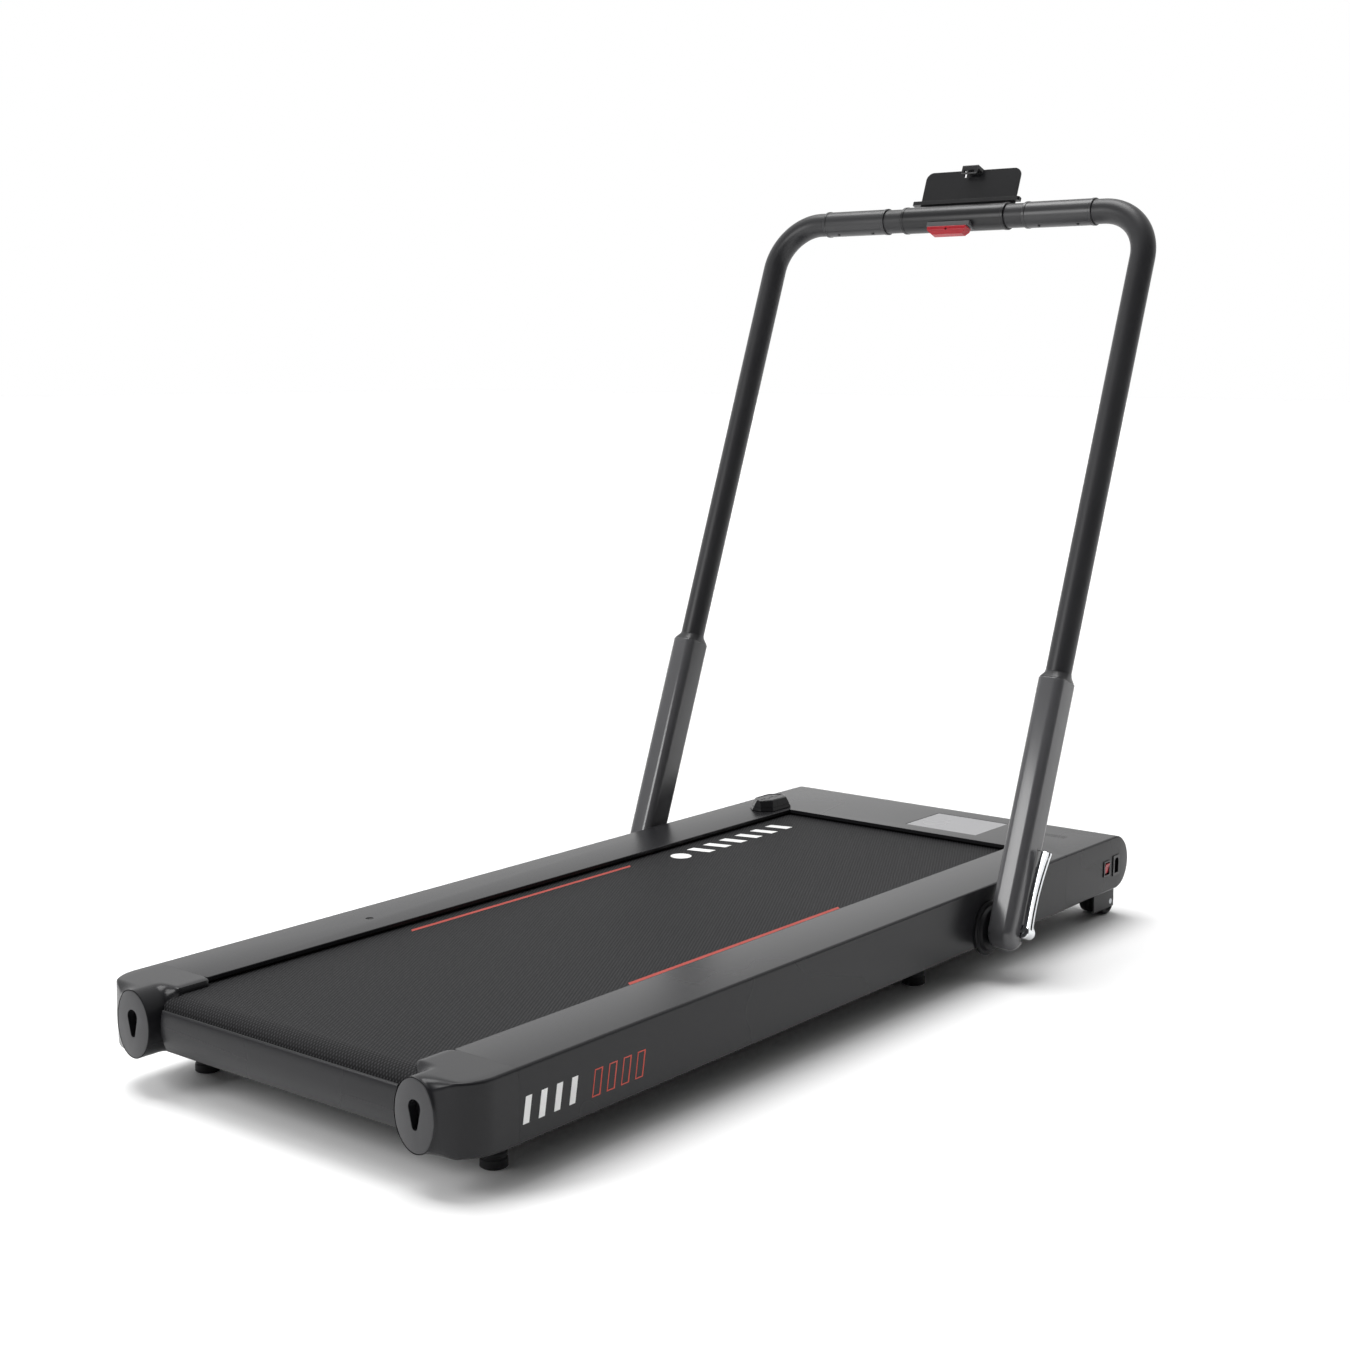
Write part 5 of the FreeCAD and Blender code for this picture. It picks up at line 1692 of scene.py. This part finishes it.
@dataclass(frozen=True)
class BarFittings:
    """Grips, console, telephone rest and safety key on the cross bar.

    Attributes:
        grip: Start and end of a grip from the middle of the bar.
        grip_radius: Radius at the rims of a grip.
        console_half: Half the length of the console.
        console_radius: Radius of the console.
    """

    grip: Flat = (118.0, 228.0)
    grip_radius: float = 19.5
    console_half: float = 88.0
    console_radius: float = 20.0

    def build(self) -> None:
        """Build everything on the bar."""
        for side, word in ((-1, "left"), (1, "right")):
            self.build_grip(side, word)
        self.build_console()
        self.build_rest()
        self.build_clip()
        self.build_key()

    def build_grip(self, side: int, word: str) -> None:
        """Sleeve with rims, mould lines and two nubs underneath.

        Args:
            side: -1 for the left, 1 for the right.
            word: The same side in words, for names.
        """
        a, b = self.grip
        r = self.grip_radius
        profile = [
            (a, 17.6),
            (a, r - 0.5),
            (a + 0.5, r),
            (a + 4, r),
            (a + 4.7, r - 0.7),
            (b - 4.7, r - 0.7),
            (b - 4, r),
            (b - 0.5, r),
            (b, r - 0.5),
            (b, 17.6),
        ]
        sleeve = Solid.lathe([(side * x, q) for x, q in profile], "X", (0, 0, BAR), 96)
        lines = [
            Solid.block(
                tuple(sorted((side * (a + 5), side * (b - 5)))),
                (v - 0.35, v + 0.35),
                (BAR + low, BAR + high),
            )
            for v, low, high in ((13.2, 12.4, 20), (-13.2, 12.4, 20))
        ]
        sleeve = sleeve.cut(*lines)
        for x in (a + 24, b - 24):
            nub = Solid.lathe(
                [(BAR - 20.3, 1.4), (BAR - 20.0, 2.0), (BAR - 18, 2.4)], "Z", (side * x, -2, 0), 24
            )
            sleeve.with_parts(nub)
        Piece(
            f"{word}_grip_sleeve", "handrail", "grip_rubber", GRIP, (f"{word}_grip",)
        ).place(sleeve.outward(), UPRIGHT)

    def build_console(self) -> None:
        """Front and rear shells with stepped ends, a parting line and the key seat."""
        half, r = self.console_half, self.console_radius
        profile = [
            (-half, 17.6),
            (-half, r - 0.8),
            (-half + 0.8, r),
            (-half + 5, r),
            (-half + 5.4, r - 0.6),
            (half - 5.4, r - 0.6),
            (half - 5, r),
            (half - 0.8, r),
            (half, r - 0.8),
            (half, 17.6),
        ]
        turned = Solid.lathe(profile, "X", (0, 0, BAR), 96)
        gap = 0.18
        for word, low, high in (("front", gap, 30.0), ("rear", -30.0, -gap)):
            keep_side = Solid.block((-100, 100), (low, high), (BAR - 30, BAR + 30))
            shell = turned.copy().combined("INTERSECT", keep_side)
            Piece(
                f"console_{word}_shell",
                "handrail",
                "console_plastic",
                CONSOLE,
                (f"console_{word}",),
                edge=0.25,
            ).place(shell, UPRIGHT)
        seat = Solid.loft(
            [
                self.seat_ring(36.0, -20.5, BAR - 13),
                self.seat_ring(36.0, -21.0, BAR - 18),
                self.seat_ring(35.0, -21.0, BAR - 20.5),
            ]
        )
        bore = Solid.lathe([(-45, 17.6), (45, 17.6)], "X", (0, 0, BAR), 64)
        Piece("key_seat", "handrail", "console_plastic", SEAT, edge=0.6).place(
            seat.cut(bore), UPRIGHT
        )

    def seat_ring(self, half: float, rear: float, level: float) -> list[Point]:
        """Four corners of the key seat at a level."""
        return [(-half, rear, level), (half, rear, level), (half, -2, level), (-half, -2, level)]

    def build_rest(self) -> None:
        """Plate with a notch for the clip, and the ledge below."""
        low, high, r = 1026.0, REST_TOP, 12.0
        outline = [(-81, low + 2), (-79, low), (79, low), (81, low + 2)]
        outline += arc((81 - r, high - r), r, 0, 90, 12)
        outline += [(16.5, high), (15.6, high - 0.8), (14.6, high - 10.4), (13.8, high - 11)]
        outline += [(-13.8, high - 11), (-14.6, high - 10.4), (-15.6, high - 0.8), (-16.5, high)]
        outline += arc((r - 81, high - r), r, 90, 180, 12)
        plate = Solid.prism(outline, "Y", 18.6, 21.6)
        Piece(
            "phone_rest_plate", "handrail", "tube_paint", CONSOLE, ("phone_plate",), edge=0.6
        ).place(plate, UPRIGHT)
        ends = [(-91, 12.4), (-89, 10.6), (89, 10.6), (91, 12.4), (91, 18.6), (-91, 18.6)]
        low_edge, high_edge = 1048.0, 1054.0
        ledge = Solid.prism(ends, "Z", low_edge, high_edge)
        channel = Solid.block((-86, 86), (12.6, 16.8), (high_edge - 1.6, high_edge + 1))
        ledge = ledge.cut(channel)
        Piece(
            "phone_rest_ledge", "handrail", "black_plastic", TRIM, ("phone_ledge",), edge=0.7
        ).place(ledge, UPRIGHT)

    def build_clip(self) -> None:
        """Sliding clip: back, top with ridges, and a rounded tooth."""
        top = REST_TOP
        outline = [(21.9, top - 41), (25.5, top - 41), (25.5, top + 1)]
        outline += arc((23.5, top + 1), 2.0, 0, 90, 6)
        outline += arc((8.0, top + 1), 2.0, 90, 180, 6)
        outline += [(6.0, top - 9.8), (6.8, top - 11), (8.4, top - 11), (9.0, top - 9.6)]
        outline += arc((10.6, top - 3.6), 1.6, 180, 90, 5)
        outline += [(21.9, top - 2)]
        clip = Solid.prism(outline, "X", -13, 13)
        grooves = [
            Solid.block((-11, 11), (v, v + 0.8), (top + 2.3, top + 4))
            for v in (9.5, 12.0, 14.5, 17.0, 19.5)
        ]
        window = Solid.block((-8.5, 8.5), (5, 10), (top - 8.8, top - 5))
        clip = clip.cut(*grooves, window)
        Piece("clip_slider", "clip", "black_plastic", TRIM, ("phone_clip",), edge=0.35).place(
            clip, UPRIGHT
        )

    def build_key(self) -> None:
        """Red key with raked ends, a finger hollow and a dark centre dot."""
        rings = []
        for w, x, v0 in (
            (997.1, 32.0, -22.6),
            (996.4, 33.0, -23.0),
            (992.0, 32.4, -23.0),
            (990.6, 31.4, -22.4),
            (986.9, 26.6, -18.6),
            (986.2, 25.8, -17.8),
        ):
            rings.append([(-x, v0, w), (x, v0, w), (x, -7.4, w), (-x, -7.4, w)])
        key = Solid.loft(rings)
        middle = (0, 0, 992.6)
        dot = Solid.lathe([(-24.5, 1.7), (-19.5, 1.7)], "Y", middle, 24)
        hollow = Solid.block((-25, -6), (-24, -22.6), (992.4, 995.2)).with_parts(
            Solid.block((6, 25), (-24, -22.6), (992.4, 995.2))
        )
        key = key.cut(dot, hollow)
        Piece("safety_key_body", "key", "red_plastic", KEY_RED, ("safety_key",), edge=0.5).place(
            key, UPRIGHT
        )
        pin = Solid.lathe([(-21.8, 1.5), (-20.2, 1.5)], "Y", middle, 24)
        Piece("safety_key_dot", "key", "red_plastic", TRIM).place(pin, UPRIGHT)


# --------------------------------------------------------------------------- the rest


@dataclass(frozen=True)
class Remote:
    """Eight-sided remote control on the left rail.

    Attributes:
        centre: Its middle in X and Y.
        half: Half width and half length at the base.
        corner: Cut of each corner.
        base: Level of its underside.
        height: Its height.
        slope: How far the sides lean in.
    """

    centre: Flat = (-226.0, 502.0)
    half: Flat = (22.5, 37.5)
    corner: float = 14.0
    base: float = 122.2
    height: float = 17.0
    slope: float = 6.0

    def ring(self, level: float, inset: float) -> list[Point]:
        """Eight-sided ring at a level.

        Args:
            level: Height above the underside.
            inset: Distance in from the base outline.

        Returns:
            The ring.
        """
        x, y = self.centre
        wide, long, c = self.half[0] - inset, self.half[1] - inset, self.corner
        flat = [
            (-wide + c, -long),
            (wide - c, -long),
            (wide, -long + c),
            (wide, long - c),
            (wide - c, long),
            (-wide + c, long),
            (-wide, long - c),
            (-wide, -long + c),
        ]
        return [(x + a, y + b, self.base + level) for a, b in flat]

    def build(self) -> None:
        """Build the case with a parting groove, and its two keys."""
        h = self.height
        rings = [self.ring(0, 0.8), self.ring(0.8, 0.3), self.ring(5.2, self.slope * 0.31)]
        rings += [self.ring(5.3, self.slope * 0.31 + 0.6), self.ring(6.0, self.slope * 0.35 + 0.6)]
        rings += [self.ring(6.1, self.slope * 0.35), self.ring(h - 1.4, self.slope * 0.93)]
        rings += [self.ring(h - 0.2, self.slope + 1.3), self.ring(h - 0.2, self.slope + 2.6)]
        rings += [self.ring(h - 0.8, self.slope + 3.2)]
        Piece(
            "remote_case", "remote", "remote_plastic", SHELL, ("remote_control",), edge=0.4
        ).place(Solid.loft(rings))
        x, y = self.centre
        top = self.base + h
        keys = Solid()
        for shift in (-10.0, 10.0):
            profile = [(top - 1.6, 5.4), (top - 0.8, 5.4), (top - 0.5, 4.9), (top - 0.6, 2.5)]
            keys.with_parts(Solid.lathe(profile, "Z", (x, y + shift, 0), 32))
        Piece("remote_keys", "remote", "remote_plastic", TRIM).place(keys.outward())


@dataclass(frozen=True)
class RunningGear:
    """Feet, transport wheels and the screws of the pan.

    Attributes:
        foot_x: Place of the feet across the machine.
        foot_y: Places of the feet along the machine.
        wheel: Place of a wheel in X and Y.
        wheel_radius: Radius of a wheel.
        wheel_half: Half the width of a wheel.
    """

    foot_x: float = 228.0
    foot_y: Flat = (201.0, -595.0)
    wheel: Flat = (250.0, 672.0)
    wheel_radius: float = 20.0
    wheel_half: float = 19.0

    def build(self) -> None:
        """Build all of it."""
        self.build_feet()
        for side, word in ((-1, "left"), (1, "right")):
            self.build_wheel(side, word)
        self.build_screws()

    def build_feet(self) -> None:
        """Ribbed rubber feet."""
        feet = Solid()
        profile = [(0.0, 13.6), (0.9, 14.8), (7.0, 14.6)]
        for k in range(5):
            z = 9 + 7 * k
            wide = 14.9 - 3 * z / 50
            profile += [(z, wide), (z + 1.0, wide - 1.3)]
            profile += [(z + 2.6, wide - 1.3), (z + 3.6, wide - 0.2)]
        profile += [(48.5, 12.0), (50.0, 11.6)]
        for side in (-1, 1):
            for y in self.foot_y:
                feet.with_parts(Solid.lathe(profile, "Z", (side * self.foot_x, y, 0), 48))
        # the feet take the rubber painted dark: painted shade under the deck
        Piece("ribbed_feet", "base", "grey_rubber", FOOT_RUBBER, ("rubber_feet",)).place(
            feet.outward()
        )

    def build_wheel(self, side: int, word: str) -> None:
        """Solid tyre with rounded shoulders, three tread grooves and dished sides.

        Args:
            side: -1 for the left, 1 for the right.
            word: The same side in words, for names.
        """
        r, half = self.wheel_radius, self.wheel_half
        x, y = self.wheel
        right = [(half, 4.1), (half, 6.5), (half - 2.5, 7.5), (half - 2.5, 14.0), (half, 15.0)]
        right += [(half, r - 2.5), (half - 0.8, r - 0.8), (half - 2.5, r)]
        profile = [(-a, b) for a, b in right]
        for middle in (-9.0, 0.0, 9.0):
            profile += [
                (middle - 1.4, r),
                (middle - 0.9, r - 1.2),
                (middle + 0.9, r - 1.2),
                (middle + 1.4, r),
            ]
        profile += right[::-1]
        centre = (side * x, y, self.wheel_radius)
        tyre = Solid.lathe(profile, "X", centre, 64)
        bore = Solid.lathe([(-half - 2, 4.1), (half + 2, 4.1)], "X", centre, 32)
        Piece(
            f"{word}_tyre",
            f"{word}_transport_wheel",
            "wheel_rubber",
            BLACK_RUBBER,
            (f"{word}_wheel",),
        ).place(tyre.cut(bore))

    def build_screws(self) -> None:
        """Pan screws with crossed recesses, turned at random as fitted."""
        profile = [(-2.0, 2.6), (-1.9, 3.4), (-1.2, 4.3), (0.0, 4.5), (0.1, 1.9), (6.8, 1.9)]
        head = Solid.lathe(profile, "Z", (0, 0, 0), 32)
        slot = Solid.block((-2.2, 2.2), (-0.45, 0.45), (-3, -0.7))
        other = Solid.block((-0.45, 0.45), (-2.2, 2.2), (-3, -0.7))
        screw = head.cut(slot, other)
        screws = Repeat(2, 3, 480.0, 42.0, 180.0, 11).make(screw, (0, 567, DECK_BASE), ZINC)
        Piece("pan_screw_set", "base", "zinc_steel", ZINC, ("pan_screws",)).place(screws)


@dataclass(frozen=True)
class HiddenParts:
    """CAD nodes that keep their own meshes and only take a finish."""

    def build(self) -> None:
        """Give every remaining node the finish of its slot."""
        finishes = {
            "frame_steel": FRAME_COAT,
            "zinc_steel": ZINC,
            "hinge_bronze": BRONZE,
            "motor_enamel": ENAMEL,
            "pulley_alloy": ALLOY,
            "deck_board": BOARD,
            "grey_rubber": FOOT_RUBBER,
            "drive_rubber": BLACK_RUBBER,
            "black_rubber": BLACK_RUBBER,
            "guard_plastic": TRIM,
            "black_plastic": TRIM,
            "display_film": WINDOW,
        }
        slots = {row["node"]: row["material_slot"] for row in frame["record"]["subparts"]}
        count = 0
        for name, thing in sorted(frame["nodes"].items()):
            if thing.hide_render:
                continue
            finish = finishes[slots[name]]
            thing.data.materials.clear()
            thing.data.materials.append(finish.build())
            count += 1
            LOG.info("kept %s with %s", name, finish.name)
        LOG.info("%d CAD nodes kept", count)


@dataclass(frozen=True)
class Studio:
    """Pale floor, soft light and the camera.

    Attributes:
        eye: Place of the camera in metres.
        turn: Degrees it is turned left of the deck's direction.
        dip: Degrees it looks down.
        lens: Focal length for a 36 mm wide sensor.
        bright_side: Direction that the surround is brightest in.
        dim: Strength of the surround on the far side from that.
        floor_half: Half the width of the floor in metres.
        floor_drop: How far the floor lies under the feet in metres.
        sun_power: Strength of the overhead lamp.
        sun_spread: Its angle in degrees.
        key_power: Strength of the key lamp in watts.
        key_size: Its width in metres.
        key_at: Its place in metres.
        key_aim: Where it points.
    """

    eye: Point = (1.6145, -2.0258, 0.8083)
    turn: float = 38.79
    dip: float = 8.69
    lens: float = 54.56
    bright_side: Point = (-0.62, 0.62, 0.48)
    dim: float = 0.05
    floor_half: float = 40.0
    floor_drop: float = 0.0003
    sun_power: float = 2.2
    sun_spread: float = 38.0
    key_power: float = 36.0
    key_size: float = 1.2
    key_at: Point = (-1.1, -2.4, 1.5)
    key_aim: Point = (0.0, -0.6, 0.1)

    def build(self) -> None:
        """Set up the scene round the object."""
        self.build_floor()
        self.build_surround()
        self.build_lights()
        self.build_camera()
        scene = bpy.context.scene
        scene.view_settings.view_transform = "Standard"
        scene.view_settings.look = "None"

    def build_floor(self) -> None:
        """A wide matt sheet."""
        mesh = bpy.data.meshes.new("floor")
        size, level = self.floor_half, -self.floor_drop
        corners = [(-size, -size), (size, -size), (size, size), (-size, size)]
        mesh.from_pydata([(x, y, level) for x, y in corners], [], [(0, 1, 2, 3)])
        floor = bpy.data.objects.new("floor", mesh)
        bpy.context.scene.collection.objects.link(floor)
        paper = Finish("floor_paper", "f7f7f7", "f5f5f5", 0.85, 0.9, 3.0, 0.01, 900, sheen=0.1)
        mesh.materials.append(paper.build())

    def build_surround(self) -> None:
        """White surround for the eye that lights from behind the deck more than from the front."""
        world = bpy.data.worlds.new("surround")
        world.use_nodes = True
        tree = world.node_tree
        tree.nodes.clear()
        way = add_node(tree, "ShaderNodeTexCoord").outputs["Generated"]
        facing = add_node(
            tree, "ShaderNodeVectorMath", {0: way, 1: self.bright_side}, operation="DOT_PRODUCT"
        )
        level = add_node(
            tree,
            "ShaderNodeMapRange",
            {
                "Value": facing.outputs["Value"],
                "From Min": -0.35,
                "From Max": 0.75,
                "To Min": self.dim,
                "To Max": 1.0,
            },
            interpolation_type="SMOOTHSTEP",
        )
        seen = add_node(tree, "ShaderNodeLightPath").outputs["Is Camera Ray"]
        most = add_node(
            tree, "ShaderNodeMath", {0: level.outputs["Result"], 1: seen}, operation="MAXIMUM"
        )
        sky = add_node(
            tree, "ShaderNodeBackground", {"Color": (1, 1, 1, 1), "Strength": most.outputs[0]}
        )
        add_node(tree, "ShaderNodeOutputWorld", {"Surface": sky.outputs[0]})
        bpy.context.scene.world = world

    def build_lights(self) -> None:
        """A wide soft lamp overhead and a broad lamp at the rear left."""
        sun = bpy.data.lights.new("overhead", "SUN")
        sun.energy = self.sun_power
        sun.angle = math.radians(self.sun_spread)
        lamp = bpy.data.objects.new("overhead", sun)
        lamp.rotation_euler = (math.radians(-4), math.radians(-16), 0)
        bpy.context.scene.collection.objects.link(lamp)
        data = bpy.data.lights.new("key", "AREA")
        data.size = self.key_size
        data.energy = self.key_power
        lamp = bpy.data.objects.new("key", data)
        lamp.location = self.key_at
        way = Vector(self.key_aim) - lamp.location
        lamp.rotation_euler = way.to_track_quat("-Z", "Y").to_euler()
        bpy.context.scene.collection.objects.link(lamp)

    def build_camera(self) -> None:
        """The camera."""
        data = bpy.data.cameras.new("camera")
        data.sensor_width = 36.0
        data.lens = self.lens
        data.clip_end = 100.0
        camera = bpy.data.objects.new("camera", data)
        camera.location = self.eye
        camera.rotation_euler = (math.radians(90 - self.dip), 0.0, math.radians(self.turn))
        bpy.context.scene.collection.objects.link(camera)
        bpy.context.scene.camera = camera


def main() -> None:
    """Build every piece in order."""
    logging.basicConfig(level=logging.INFO, format="%(message)s")
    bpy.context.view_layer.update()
    SideRails().build()
    for side, word in ((-1, "left"), (1, "right")):
        EndCap().build(side, word)
        Arm().build(side, word)
        Lever().build(side, word)
    RearGuard().build()
    Hood().build()
    Belt().build()
    SidePrint().build()
    Tube().build()
    BarFittings().build()
    Remote().build()
    RunningGear().build()
    HiddenParts().build()
    Studio().build()


if __name__ == "__main__":
    main()
